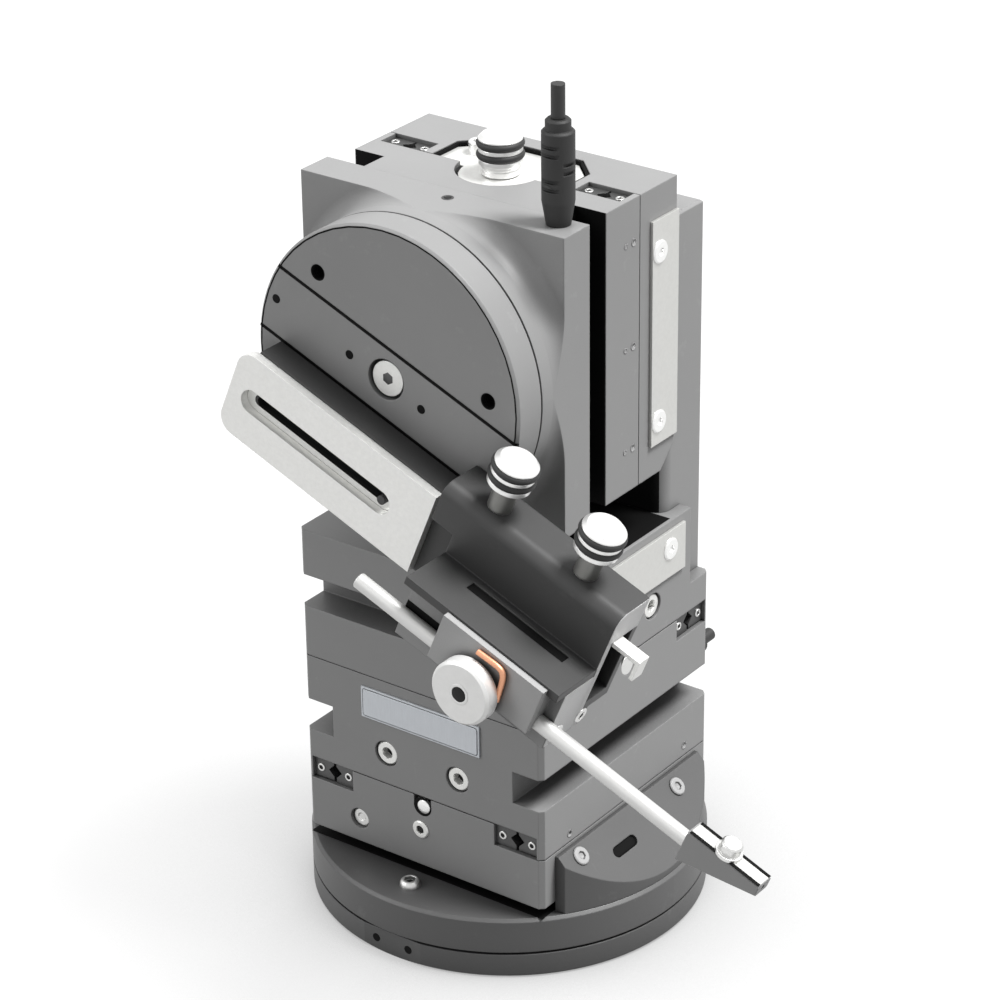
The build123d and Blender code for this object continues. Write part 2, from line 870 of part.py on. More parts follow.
with BuildPart() as rear_cable:
    with BuildSketch(rear_plane.offset(rear_gland_length)):
        Circle(cable_radius)
    extrude(amount=rear_cable_stub)
save(rear_cable, "rear_cable")

# Approach head

with BuildPart() as swivel_disc:
    with BuildSketch(head):
        Circle(disc_radius)
    extrude(amount=-disc_thickness)
    chamfer(swivel_disc.edges().filter_by(GeomType.CIRCLE), disc_edge)
    with BuildSketch(head):
        for line in (groove_high, groove_low):
            rectangle(-disc_radius, disc_radius, line - groove_width / 2, line + groove_width / 2)
    extrude(amount=-groove_cut, mode=Mode.SUBTRACT)
    with BuildSketch(head):
        Circle(tilt_recess_radius)
    extrude(amount=-tilt_recess_depth, mode=Mode.SUBTRACT)
    with BuildSketch(head):
        Circle(tilt_shaft_radius + running_clearance)
    extrude(amount=-disc_thickness, mode=Mode.SUBTRACT)
    with BuildSketch(head):
        with Locations((-tapped_place_x, tapped_place_y), (tapped_place_x, tapped_place_y)):
            Circle(tapped_hole_radius)
    extrude(amount=-tapped_hole_depth, mode=Mode.SUBTRACT)
    with BuildSketch(head):
        with Locations(
            (-far_hole_place, -small_hole_drop),
            (-small_hole_place, -small_hole_drop),
            (small_hole_place, -small_hole_drop),
        ):
            Circle(small_hole_radius)
    extrude(amount=-small_hole_depth, mode=Mode.SUBTRACT)
save(swivel_disc, "swivel_disc")

with BuildPart() as tilt_screw:
    with BuildSketch(head.offset(running_clearance - tilt_recess_depth)):
        Circle(tilt_head_radius)
    extrude(amount=tilt_head_height)
    with BuildSketch(head.offset(-disc_thickness - tilt_socket_depth)):
        Circle(tilt_shaft_radius)
    extrude(amount=disc_thickness + tilt_socket_depth - tilt_recess_depth + running_clearance)
save(tilt_screw, "tilt_screw")

# Slide: fixed guide, moving body, slotted bar

guide_middle = slide_top - slide_height / 2
guide_front = guide_neck + guide_depth
carriage_end = carriage_start + carriage_length

with BuildPart() as slide_guide:
    with BuildSketch(head_section(guide_reach)):
        rectangle(0, guide_neck, guide_middle - guide_neck_half, guide_middle + guide_neck_half)
        rectangle(guide_neck, guide_front, guide_middle - guide_half, guide_middle + guide_half)
    extrude(amount=2 * guide_reach)
save(slide_guide, "slide_guide")

with BuildPart() as stop_pin:
    with BuildSketch(head.offset(guide_front)):
        with Locations((pin_place, guide_middle)):
            Circle(pin_radius)
    extrude(amount=pin_top - guide_front)
save(stop_pin, "stop_pin")


def cut_end_pocket():
    """Cut the pocket in the far end, which runs through the slide body and the carriage's inner side."""
    with BuildSketch(head_section(carriage_end)) as profile:
        rectangle(
            slide_back_gap + pocket_wall, carriage_front - pocket_wall, end_pocket_bottom, end_pocket_top
        )
    extrude(profile.sketch, amount=end_recess, mode=Mode.SUBTRACT)


with BuildPart() as slide_body:
    with BuildSketch(head_section(carriage_end)):
        rectangle(slide_back_gap, slide_front, slide_top - slide_height, slide_top)
    extrude(amount=carriage_end - slide_start)
    neck = guide_neck_half + slide_clearance
    wing = guide_half + slide_clearance
    with BuildSketch(head_section(guide_reach + cavity_stop)):
        rectangle(0, guide_neck, guide_middle - neck, guide_middle + neck)
        cavity_back = guide_neck - slide_clearance
        cavity_front = guide_front + slide_clearance
        rectangle(cavity_back, cavity_front, guide_middle - wing, guide_middle + wing)
    extrude(amount=guide_reach + cavity_stop - slide_start, mode=Mode.SUBTRACT)
    pin_slot = 2 * (pin_radius + pin_clearance)
    with BuildSketch(head.offset(slide_front)):
        with Locations((pin_place - slide_travel / 2, guide_middle)):
            SlotOverall(slide_travel + pin_slot, pin_slot)
    extrude(amount=guide_front - slide_front, mode=Mode.SUBTRACT)
    cut_end_pocket()
save(slide_body, "slide_body")

with BuildPart() as slide_bar:
    with BuildSketch(head.offset(slide_front)):
        rectangle(bar_start, bar_end, guide_middle - bar_height / 2, guide_middle + bar_height / 2)
        fillet(vertices().filter_by(lambda p: head.to_local_coords(p).X < bar_slot_start), bar_corner)
        with Locations(((bar_slot_start + bar_slot_end) / 2, guide_middle)):
            SlotOverall(bar_slot_end - bar_slot_start, bar_slot_width, mode=Mode.SUBTRACT)
    extrude(amount=bar_thickness)
save(slide_bar, "slide_bar")

# Slide carriage and rod block

def cut_shelf_slot():
    """Cut the long slot that runs through the carriage's shelf into the rod block."""
    with BuildSketch(head_side(shelf_top)) as profile:
        with Locations((shelf_slot_start + shelf_slot_length / 2, -shelf_slot_place)):
            Rectangle(shelf_slot_length, shelf_slot_width)
    extrude(profile.sketch, amount=-shelf_slot_depth, mode=Mode.SUBTRACT)


rod_seat = rod_radius + rod_fit
lip_front = rod_out + rod_seat
with BuildPart() as slide_carriage:
    with BuildSketch(head_section(carriage_end)):
        with BuildLine():
            Polyline(
                (slide_back_gap, slide_top),
                (slide_back_gap, carriage_top),
                (carriage_front - carriage_round, carriage_top),
            )
            RadiusArc(
                (carriage_front - carriage_round, carriage_top),
                (carriage_front, carriage_top - carriage_round),
                carriage_round,
            )
            Polyline(
                (carriage_front, carriage_top - carriage_round),
                (carriage_front, shelf_top),
                (lip_front, shelf_top),
                (lip_front, shelf_top - shelf_thickness),
                (carriage_front, shelf_top - shelf_thickness),
                (carriage_front, rod_block_bottom),
                (slide_front, rod_block_bottom),
                (slide_front, slide_top),
                (slide_back_gap, slide_top),
            )
        make_face()
    extrude(amount=carriage_length)
    with BuildSketch(head_side(carriage_top)):
        with Locations((near_thumb_place, -thumb_place_out), (far_thumb_place, -thumb_place_out)):
            Circle(thumb_shank_radius + running_clearance)
    extrude(amount=slide_top - carriage_top, mode=Mode.SUBTRACT)
    with BuildSketch(head_section(shelf_start)):
        rectangle(slide_front, lip_front, rod_block_bottom, carriage_step)
    extrude(amount=shelf_start - carriage_start, mode=Mode.SUBTRACT)
    cut_shelf_slot()
    cut_end_pocket()
save(slide_carriage, "slide_carriage")

jaw_end = jaw_start + jaw_length
block_top_w = shelf_top - shelf_thickness
seat_apex = rod_out - rod_seat * diagonal
seat_mouth = rod_block_front - seat_apex
eye_pocket = eye_radius + eye_pocket_clearance
eye_half = eye_thickness / 2 + eye_pocket_clearance
with BuildPart() as rod_block:
    with BuildSketch(head_section(carriage_end)):
        rectangle(carriage_front, rod_block_front, rod_block_bottom, block_top_w)
        with BuildLine():
            Polyline(
                (rod_block_front, rod_drop + seat_mouth),
                (seat_apex, rod_drop),
                (rod_block_front, rod_drop - seat_mouth),
                close=True,
            )
        make_face(mode=Mode.SUBTRACT)
    extrude(amount=carriage_end - rod_block_start)
    cut_shelf_slot()
    with BuildSketch(head_section(jaw_end)):
        rectangle(rod_block_front, lip_front, rod_drop + rod_seat, block_top_w)
    extrude(amount=jaw_length)
    with BuildSketch(head_section(eye_place + eye_half)):
        rectangle(rod_out - eye_pocket, lip_front, rod_drop - eye_pocket, rod_drop + eye_pocket)
    extrude(amount=2 * eye_half, mode=Mode.SUBTRACT)
save(rod_block, "rod_block")

with BuildPart() as clamp_jaw:
    with BuildSketch(head.offset(lip_front)):
        rectangle(jaw_start, jaw_end, jaw_bottom, jaw_top)
        rectangle(
            eye_place - jaw_slot_width / 2,
            eye_place + jaw_slot_width / 2,
            jaw_bottom,
            jaw_slot_top,
            mode=Mode.SUBTRACT,
        )
    extrude(amount=jaw_thickness)
save(clamp_jaw, "clamp_jaw")
jaw_front = lip_front + jaw_thickness

with BuildPart() as eye_bolt:
    with BuildSketch(head_section(eye_place + eye_thickness / 2)):
        with Locations((rod_out, rod_drop)):
            Circle(eye_radius)
            Circle(rod_seat, mode=Mode.SUBTRACT)
    extrude(amount=eye_thickness)
    with BuildSketch(head.offset(rod_out + (rod_seat + eye_radius) / 2)):
        with Locations((eye_place, rod_drop)):
            Circle(stud_radius)
    extrude(amount=stud_end - rod_out - (rod_seat + eye_radius) / 2)
save(eye_bolt, "eye_bolt")

with BuildPart() as clamp_knob:
    with BuildSketch(head.offset(jaw_front + running_clearance)):
        with Locations((eye_place, rod_drop)):
            Circle(collar_radius)
    extrude(amount=collar_height)
    knob_back = jaw_front + running_clearance + collar_height
    with BuildSketch(head.offset(knob_back)):
        with Locations((eye_place, rod_drop)):
            Circle(clamp_knob_radius)
    extrude(amount=clamp_knob_height)
    chamfer(clamp_knob.faces().sort_by(Axis.Y)[0].edges(), clamp_knob_edge)
    with BuildSketch(head.offset(jaw_front)):
        with Locations((eye_place, rod_drop)):
            Circle(stud_radius + running_clearance)
    extrude(amount=stud_end + running_clearance - jaw_front, mode=Mode.SUBTRACT)
    with BuildSketch(head.offset(knob_back + clamp_knob_height)):
        with Locations((eye_place, rod_drop)):
            RegularPolygon(clamp_socket_radius, 6)
    extrude(amount=-clamp_socket_depth, mode=Mode.SUBTRACT)
save(clamp_knob, "clamp_knob")

with BuildPart() as clamp_clip:
    with BuildSketch(head.offset(jaw_front)):
        rectangle(clip_left, clip_right, clip_top - clip_width, clip_top)
        rectangle(clip_right - clip_width, clip_right, clip_bottom, clip_top)
    extrude(amount=clip_thickness)
    corner_way = Axis(head.origin, head.x_dir + head.y_dir)
    fillet(clamp_clip.edges().filter_by(Axis.Y).sort_by(corner_way)[-1], clip_width)
save(clamp_clip, "clamp_clip")

for number, place in enumerate((near_thumb_place, far_thumb_place), start=1):
    foot = head.from_local_coords(Vector(place, carriage_top, thumb_place_out))
    thumb_plane = Plane(origin=foot, x_dir=head.x_dir, z_dir=head.y_dir)
    make_knob(thumb_plane, thumb_stem_height, thumb_shank_length, f"thumb_screw_{number}")

with BuildPart() as probe_rod:
    with BuildSketch(head_section(rod_start + rod_length)):
        with Locations((rod_out, rod_drop)):
            Circle(rod_radius)
    extrude(amount=rod_length)
    chamfer(probe_rod.faces().filter_by(GeomType.PLANE).edges(), rod_radius / 8)
    with BuildSketch(head_section(rod_start + rod_length)):
        with Locations((rod_out, rod_drop)):
            Circle(holder_neck_radius + rod_fit)
    extrude(amount=holder_neck_length + rod_fit, mode=Mode.SUBTRACT)
save(probe_rod, "probe_rod")

# Tip holder and end bracket

rod_end = rod_start + rod_length
holder_end = rod_end + holder_length
holder_top = rod_drop + holder_above
tip_bore_drop = holder_top - holder_tip_height / 2
with BuildPart() as tip_holder:
    with BuildSketch(head_section(rod_end)):
        with Locations((rod_out, holder_top - (holder_above + holder_below) / 2)):
            tall_end = Rectangle(2 * holder_half_width, holder_above + holder_below)
            chamfer(tall_end.vertices(), holder_edge)
    with BuildSketch(head_section(holder_end)):
        with Locations((rod_out, tip_bore_drop)):
            low_end = Rectangle(2 * holder_tip_half_width, holder_tip_height)
            chamfer(low_end.vertices(), holder_edge)
    loft()
    with BuildSketch(head_section(rod_end)):
        with Locations((rod_out, rod_drop)):
            Circle(holder_neck_radius)
    extrude(amount=holder_neck_length)
    with BuildSketch(head_section(holder_end)):
        with Locations((rod_out, tip_bore_drop)):
            Circle(tip_bore_radius)
    extrude(amount=tip_bore_depth, mode=Mode.SUBTRACT)
    with BuildSketch(head_side(holder_top)):
        with Locations((rod_end + tip_screw_place, -rod_out)):
            Circle(tip_shank_radius + running_clearance)
    extrude(amount=tip_bore_drop - holder_top, mode=Mode.SUBTRACT)
save(tip_holder, "tip_holder")

with BuildPart() as tip_screw:
    with BuildSketch(head_side(holder_top)):
        with Locations((rod_end + tip_screw_place, -rod_out)):
            Circle(tip_washer_radius)
    extrude(amount=tip_washer_height)
    with BuildSketch(head_side(holder_top)):
        with Locations((rod_end + tip_screw_place, -rod_out)):
            Circle(tip_screw_radius)
    extrude(amount=tip_screw_height)
    chamfer(tip_screw.faces().sort_by(Axis(head.origin, head.y_dir))[-1].edges(), tip_washer_height / 2)
    with BuildSketch(head_side(holder_top)):
        with Locations((rod_end + tip_screw_place, -rod_out)):
            Circle(tip_shank_radius)
    extrude(amount=tip_bore_drop + tip_bore_radius - holder_top)
save(tip_screw, "tip_screw")

bracket_end = carriage_end + bracket_reach
with BuildPart() as end_bracket:
    with BuildSketch(head.offset(bracket_low)):
        rectangle(
            carriage_end - bracket_seat, bracket_end, end_pocket_top - bracket_thickness, end_pocket_top
        )
        rectangle(bracket_end - bracket_thickness, bracket_end, bracket_bottom, end_pocket_top)
    extrude(amount=bracket_high - bracket_low)
save(end_bracket, "end_bracket")
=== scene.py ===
"""Looks of the motorized micromanipulator: finishes, screws, linings, floor, lights and camera.

Sizes and places on the part are in millimetres, and become metres where a mesh is made. The frame's
nodes keep their place, and each new piece is a surface worked out with numpy.
"""

import json
from math import cos, pi, radians, sin

import bmesh
import bpy
import numpy as np
from mathutils import Matrix, Vector


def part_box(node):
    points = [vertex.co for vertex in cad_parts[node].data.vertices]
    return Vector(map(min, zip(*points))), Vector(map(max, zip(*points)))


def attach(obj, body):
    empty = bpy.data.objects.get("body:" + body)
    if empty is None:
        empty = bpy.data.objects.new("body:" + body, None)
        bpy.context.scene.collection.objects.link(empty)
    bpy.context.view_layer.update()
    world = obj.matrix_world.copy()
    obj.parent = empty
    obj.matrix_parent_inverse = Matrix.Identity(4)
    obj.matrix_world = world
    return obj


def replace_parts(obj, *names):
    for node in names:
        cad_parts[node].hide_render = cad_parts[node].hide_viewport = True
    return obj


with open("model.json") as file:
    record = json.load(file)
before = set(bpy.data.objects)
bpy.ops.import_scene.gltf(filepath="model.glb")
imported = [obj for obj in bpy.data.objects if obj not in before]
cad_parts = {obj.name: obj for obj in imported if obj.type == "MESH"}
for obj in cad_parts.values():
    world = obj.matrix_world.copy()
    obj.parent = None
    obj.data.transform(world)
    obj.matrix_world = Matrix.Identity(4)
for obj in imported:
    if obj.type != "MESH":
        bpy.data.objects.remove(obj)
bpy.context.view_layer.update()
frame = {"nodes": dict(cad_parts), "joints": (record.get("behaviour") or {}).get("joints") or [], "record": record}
scene = bpy.context.scene
mm = 0.001

# Directions and places taken from the frame

X, Y, Z = np.eye(3)
joints = {joint["name"]: joint for joint in frame["joints"]}
along = np.array(joints["approach"]["axis"])
out = -Y
up_slide = np.cross(out, along)
disc_centre = np.array(joints["head_tilt"]["pos_m"]) / mm


def corner(node, which):
    """Lowest (0) or highest (1) corner of a CAD node."""
    return np.array(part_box(node)[which]) / mm


def at_head(u, w, v):
    """Point on the approach head: u along the slide, w across it, v out of the disc."""
    return disc_centre + u * along + w * up_slide + v * out


block_side = corner("y_base", 1)[0]
block_front = corner("y_base", 0)[1]
y_seam = corner("y_fixed_rails", 0)[2]
x_seam = corner("x_fixed_rails", 0)[2]
swivel_top = corner("connector_housing", 0)[2]

# Far end of the carriage, along the slide
carriage_end = 84.0


# Flat outlines

def box_outline(low_a, high_a, low_b, high_b):
    """Four corners of a rectangle, counter-clockwise."""
    return ((low_a, low_b), (high_a, low_b), (high_a, high_b), (low_a, high_b))


def arc(centre, radius, start, end, count):
    """Points on a circle between two angles, in degrees."""
    turn = np.radians(np.linspace(start, end, count))
    return [(centre[0] + radius * cos(a), centre[1] + radius * sin(a)) for a in turn]


def circle(count, start=0.0):
    """Angles of points spread evenly round a full turn."""
    return np.linspace(0, 2 * pi, count, endpoint=False) + start


def spread(a, b, first, second):
    """Points whose two flat coordinates run along two directions."""
    return np.outer(a, first) + np.outer(b, second)


# Surfaces as grids of rings

ring_points = 48


def turned_axes(axis):
    """Three unit arrays: two across the axis and the axis itself, by cross products."""
    axis = np.asarray(axis, float) / np.linalg.norm(axis)
    helper = Z if abs(axis[2]) < 0.9 else X
    first = np.cross(helper, axis)
    first /= np.linalg.norm(first)
    return first, np.cross(axis, first), axis


def around(profile, origin, axis):
    """Grid of rings: each profile row is (radius, height, sides).

    With sides 0 the ring is a circle; otherwise the radius at an angle is the apothem divided by the
    cosine of the angle from the middle of the side, which gives a polygon with that many sides.
    """
    first, second, third = turned_axes(axis)
    angle = circle(ring_points)
    spokes = spread(np.cos(angle), np.sin(angle), first, second)
    rings = []
    for radius, height, sides in profile:
        reach = np.full(ring_points, float(radius))
        if sides:
            part = 2 * pi / sides
            reach = radius / np.cos((angle + part / 2) % part - part / 2)
        rings.append(np.asarray(origin) + spokes * reach[:, None] + height * third)
    return np.array(rings)


def plate(outline, origin, first, second, thickness):
    """Flat piece as two rings: an outline, and its copy moved along the directions' cross product.

    The outline runs counter-clockwise in the two directions.
    """
    flat = np.array(outline, float)
    base = np.asarray(origin) + spread(flat[:, 0], flat[:, 1], first, second)
    return np.array((base, base + thickness * np.cross(first, second)))


def slab(origin, first, second, third, size, round_by):
    """Plate with round corners as three rings: its foot, the start of its bevel, and its top.

    Each outline point is the corner of an inner rectangle, pushed by the corner radius in the direction
    of its angle. The bevel starts a third of the radius below the top, on a thin plate inside what it
    lies on.
    """
    angle = circle(ring_points, pi / ring_points)
    inner = np.array(size[:2]) / 2 - round_by
    way = np.stack((np.cos(angle), np.sin(angle)), 1)
    bevel = round_by / 3
    rings = []
    for shrink, height in ((0, 0), (0, size[2] - bevel), (bevel, size[2])):
        flat = np.sign(way) * inner + way * (round_by - shrink)
        rings.append(origin + spread(flat[:, 0], flat[:, 1], first, second) + height * third)
    return np.array(rings)


def oval(origin, first, second, third, reach, radius, height):
    """Ring of a slot shape: a circle pulled apart along the first direction by the reach each way."""
    angle = circle(ring_points, pi / ring_points)
    flat_a = np.sign(np.cos(angle)) * reach + np.cos(angle) * radius
    flat_b = np.sin(angle) * radius
    return origin + spread(flat_a, flat_b, first, second) + height * third


def round_ring(origin, axis, radius, thickness):
    """Ring of round section: a second angle's cosine goes to the radius, its sine to the height."""
    swing = np.linspace(-pi, pi, 17)
    rows = [(radius + thickness * cos(a), thickness * sin(a), 0) for a in swing]
    return around(rows, origin, axis)


def thread_tube(radius, depth, pitch, origin, axis):
    """Tube whose inner radius follows a cosine of the height over the pitch less the turn angle."""
    first, second, third = turned_axes(axis)
    angle = circle(ring_points)
    spokes = spread(np.cos(angle), np.sin(angle), first, second)
    crest_gap = 0.02
    half_height = 0.12
    rings = [origin + spokes * radius + height * third for height in (-depth, 0)]
    for height in np.arange(0, -depth - 0.001, -pitch / 6):
        reach = radius - crest_gap - half_height * (1 + np.cos(2 * pi * height / pitch - angle))
        rings.append(origin + spokes * reach[:, None] + height * third)
    return np.array(rings + rings[:1])


def wire(points, radius):
    """Round wire through the points: a circle in the plane across the path at each of its steps.

    The steps lie evenly on the lines between the points. Each is then moved six times to the mean of
    itself and the mean of its neighbours, which rounds the bends.
    """
    path = np.array(points, float)
    share = np.linspace(0, 1, 8, endpoint=False)
    steps = [a + np.outer(share, b - a) for a, b in zip(path[:-1], path[1:])]
    line = np.vstack(steps + [path[-1:]])
    for _ in range(6):
        line[1:-1] = (line[:-2] + line[2:] + 2 * line[1:-1]) / 4
    way = np.gradient(line, axis=0)
    way /= np.linalg.norm(way, axis=1)[:, None]
    side = np.cross(way, out)
    side /= np.linalg.norm(side, axis=1)[:, None]
    over = np.cross(way, side)
    angle = circle(16)[None, :, None]
    ring = np.cos(angle) * side[:, None, :] + np.sin(angle) * over[:, None, :]
    return line[:, None, :] + ring * radius


# Meshes from the grids

def shell_faces(rings, count, offset, capped):
    """Faces between neighbouring rings of a grid, and one polygon at each end when it is capped."""
    low = np.arange(count)
    high = (low + 1) % count
    faces = []
    for ring in range(rings - 1):
        a = offset + ring * count
        b = a + count
        faces.extend(np.stack((a + low, a + high, b + high, b + low), 1).tolist())
    if capped:
        faces.append((offset + low[::-1]).tolist())
        faces.append((offset + (rings - 1) * count + low).tolist())
    return faces


def piece(name, grids, finish, body, capped=True):
    """One mesh from several ring grids, with its finish, riding on a body.

    With capped False the last ring of each grid lies on its first one, and the two are merged.
    """
    points = []
    faces = []
    offset = 0
    for grid in grids:
        faces.extend(shell_faces(len(grid), grid.shape[1], offset, capped))
        points.append(grid.reshape(-1, 3) * mm)
        offset += len(points[-1])
    mesh = bpy.data.meshes.new(name)
    mesh.from_pydata(np.concatenate(points).tolist(), [], faces)
    if not capped:
        work = bmesh.new()
        work.from_mesh(mesh)
        bmesh.ops.remove_doubles(work, verts=work.verts, dist=0.0001 * mm)
        work.to_mesh(mesh)
        work.free()
    mesh.update()
    mesh.shade_smooth()
    mesh.set_sharp_from_angle(angle=radians(28))
    thing = bpy.data.objects.new(name, mesh)
    scene.collection.objects.link(thing)
    mesh.materials.append(finish)
    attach(thing, body)
    return thing


def shade_sheet(name, grids, body, capped=True):
    """Black sheet of painted shade that lies in a gap, a slot or a hole."""
    piece(name, grids, near_black_shade, body, capped)


# Shader groups

def new_group(name, inputs):
    """Shader group that takes named values and puts out a finish; returns tree, input and output."""
    tree = bpy.data.node_groups.new(name, "ShaderNodeTree")
    for title, kind, value in inputs:
        made = tree.interface.new_socket(title, in_out="INPUT", socket_type=kind)
        made.default_value = value
    for title, kind in (
        ("Colour", "NodeSocketColor"),
        ("Roughness", "NodeSocketFloat"),
        ("Normal", "NodeSocketVector"),
    ):
        tree.interface.new_socket(title, in_out="OUTPUT", socket_type=kind)
    return tree, tree.nodes.new("NodeGroupInput"), tree.nodes.new("NodeGroupOutput")


def add_math(tree, kind, *values):
    """Math node whose inputs are sockets or numbers; returns its output."""
    node = tree.nodes.new("ShaderNodeMath")
    node.operation = kind
    for socket, value in zip(node.inputs, values):
        if isinstance(value, (int, float)):
            socket.default_value = value
        else:
            tree.links.new(value, socket)
    return node.outputs[0]


def add_scaled(tree, value, factor, offset):
    """Value times a factor, plus an offset that is a number or a socket."""
    return add_math(tree, "MULTIPLY_ADD", value, factor, offset)


def add_noise(tree, place, scale, detail, rough=0.6):
    """Noise texture on a place socket; returns its value."""
    node = tree.nodes.new("ShaderNodeTexNoise")
    node.inputs["Scale"].default_value = scale
    node.inputs["Detail"].default_value = detail
    node.inputs["Roughness"].default_value = rough
    tree.links.new(place, node.inputs["Vector"])
    return node.outputs["Fac"]


def add_range(tree, value, from_low, from_high, to_low, to_high):
    """Value moved from one range to another and held inside it."""
    node = tree.nodes.new("ShaderNodeMapRange")
    node.inputs["From Min"].default_value = from_low
    node.inputs["From Max"].default_value = from_high
    node.inputs["To Min"].default_value = to_low
    node.inputs["To Max"].default_value = to_high
    tree.links.new(value, node.inputs["Value"])
    return node.outputs[0]


def add_painted_shade(tree, reach, dark, closed_at, open_at, bright=1.0):
    """Painted shade: a factor from an ambient occlusion node that falls from bright to dark where neighbouring
    surfaces close a place in.
    """
    node = tree.nodes.new("ShaderNodeAmbientOcclusion")
    node.samples = 6
    node.inputs["Distance"].default_value = reach
    return add_range(tree, node.outputs["AO"], closed_at, open_at, dark, bright)


def add_vector_math(tree, kind, vector, socket, value):
    """Vector math node on a vector, whose second socket takes a value; returns its output."""
    node = tree.nodes.new("ShaderNodeVectorMath")
    node.operation = kind
    tree.links.new(vector, node.inputs[0])
    tree.links.new(value, node.inputs[socket])
    return node.outputs[0]


def add_relief(tree, height, strength, edge_radius):
    """Normal with softly rounded edges and a fine bump of a height."""
    edge = tree.nodes.new("ShaderNodeBevel")
    edge.samples = 6
    edge.inputs["Radius"].default_value = edge_radius
    bump = tree.nodes.new("ShaderNodeBump")
    bump.inputs["Distance"].default_value = 0.02 * mm
    tree.links.new(strength, bump.inputs["Strength"])
    tree.links.new(height, bump.inputs["Height"])
    tree.links.new(edge.outputs[0], bump.inputs["Normal"])
    return bump.outputs[0]


def make_blast_group():
    """Blasted and anodised metal: fine grain, faint clouds, lighter rubbed spots, and painted shade that darkens
    the colour in hollows.
    """
    tree, source, target = new_group("blasted_shaded_finish", (
        ("Colour", "NodeSocketColor", (0.3, 0.3, 0.3, 1)),
        ("Worn colour", "NodeSocketColor", (0.5, 0.5, 0.5, 1)),
        ("Grain", "NodeSocketFloat", 1.0),
        ("Roughness", "NodeSocketFloat", 0.5),
    ))
    place = tree.nodes.new("ShaderNodeTexCoord").outputs["Object"]
    grain = add_noise(tree, place, scale=5200.0, detail=2.0)
    cloud = add_noise(tree, place, scale=38.0, detail=3.0)
    rub = add_noise(tree, place, scale=160.0, detail=4.0, rough=0.7)
    spots = add_range(tree, rub, from_low=0.62, from_high=0.78, to_low=0.0, to_high=0.35)
    worn = tree.nodes.new("ShaderNodeMix")
    worn.data_type = "RGBA"
    colour_a, colour_b = [socket for socket in worn.inputs if socket.type == "RGBA"]
    tree.links.new(spots, worn.inputs[0])
    tree.links.new(source.outputs["Colour"], colour_a)
    tree.links.new(source.outputs["Worn colour"], colour_b)
    blended = [socket for socket in worn.outputs if socket.type == "RGBA"][0]
    clouds = add_scaled(tree, cloud, factor=0.16, offset=0.90)
    specks = add_scaled(tree, grain, factor=0.12, offset=0.94)
    # painted shade: an ambient occlusion factor darkens the colour in hollows and creases
    painted_shade = add_painted_shade(tree, 16 * mm, dark=0.20, closed_at=0.15, open_at=0.85)
    shade = add_math(tree, "MULTIPLY", add_math(tree, "MULTIPLY", clouds, specks), painted_shade)
    tinted = add_vector_math(tree, "SCALE", blended, "Scale", shade)
    rough = add_scaled(tree, cloud, factor=0.14, offset=source.outputs["Roughness"])
    normal = add_relief(tree, grain, source.outputs["Grain"], edge_radius=0.45 * mm)
    tree.links.new(tinted, target.inputs["Colour"])
    tree.links.new(rough, target.inputs["Roughness"])
    tree.links.new(normal, target.inputs["Normal"])
    return tree


def make_brush_group():
    """Ground or brushed metal: long fine streaks from noise stretched along one direction."""
    tree, source, target = new_group("brushed_finish", (
        ("Colour", "NodeSocketColor", (0.8, 0.8, 0.8, 1)),
        ("Direction", "NodeSocketVector", (1, 1, 20)),
        ("Depth", "NodeSocketFloat", 0.3),
        ("Roughness", "NodeSocketFloat", 0.3),
    ))
    place = tree.nodes.new("ShaderNodeTexCoord").outputs["Object"]
    stretched = add_vector_math(tree, "MULTIPLY", place, 1, source.outputs["Direction"])
    streak = add_noise(tree, stretched, scale=300.0, detail=4.0)
    cloud = add_noise(tree, place, scale=60.0, detail=2.0)
    shade = add_scaled(tree, streak, factor=0.16, offset=0.91)
    tinted = add_vector_math(tree, "SCALE", source.outputs["Colour"], "Scale", shade)
    mixed = add_math(tree, "ADD", streak, cloud)
    rough = add_scaled(tree, mixed, factor=0.10, offset=source.outputs["Roughness"])
    normal = add_relief(tree, streak, source.outputs["Depth"], edge_radius=0.25 * mm)
    tree.links.new(tinted, target.inputs["Colour"])
    tree.links.new(rough, target.inputs["Roughness"])
    tree.links.new(normal, target.inputs["Normal"])
    return tree


blasted = make_blast_group()
brushed = make_brush_group()


# Finishes

def grey(level):
    """Neutral colour of one level."""
    return (level, level, level, 1.0)


def new_finish(name, group, metallic, specular, values):
    """Material whose colour, roughness and normal come from a group, with constant metal and shine."""
    made = bpy.data.materials.new(name)
    made.use_nodes = True
    tree = made.node_tree
    shader = tree.nodes["Principled BSDF"]
    shader.inputs["Metallic"].default_value = metallic
    shader.inputs["Specular IOR Level"].default_value = specular
    node = tree.nodes.new("ShaderNodeGroup")
    node.node_tree = group
    for title, value in values.items():
        node.inputs[title].default_value = value
    tree.links.new(node.outputs["Colour"], shader.inputs["Base Color"])
    tree.links.new(node.outputs["Roughness"], shader.inputs["Roughness"])
    tree.links.new(node.outputs["Normal"], shader.inputs["Normal"])
    return made


def blasted_shaded_finish(name, level, worn, roughness, grain=0.5, specular=0.5):
    """Blasted or moulded surface of a grey level, with spots of a worn level and painted shade in hollows."""
    values = {"Colour": grey(level), "Worn colour": grey(worn), "Grain": grain, "Roughness": roughness}
    return new_finish(name, blasted, 0.0, specular, values)


def brushed_finish(name, red, green, blue, roughness, streaks, depth=0.25, metallic=1.0):
    """Brushed metal of a colour; the streaks factors squeeze its noise along the three directions."""
    colour = (red, green, blue, 1)
    values = {"Colour": colour, "Direction": streaks, "Depth": depth, "Roughness": roughness}
    return new_finish(name, brushed, metallic, 0.5, values)


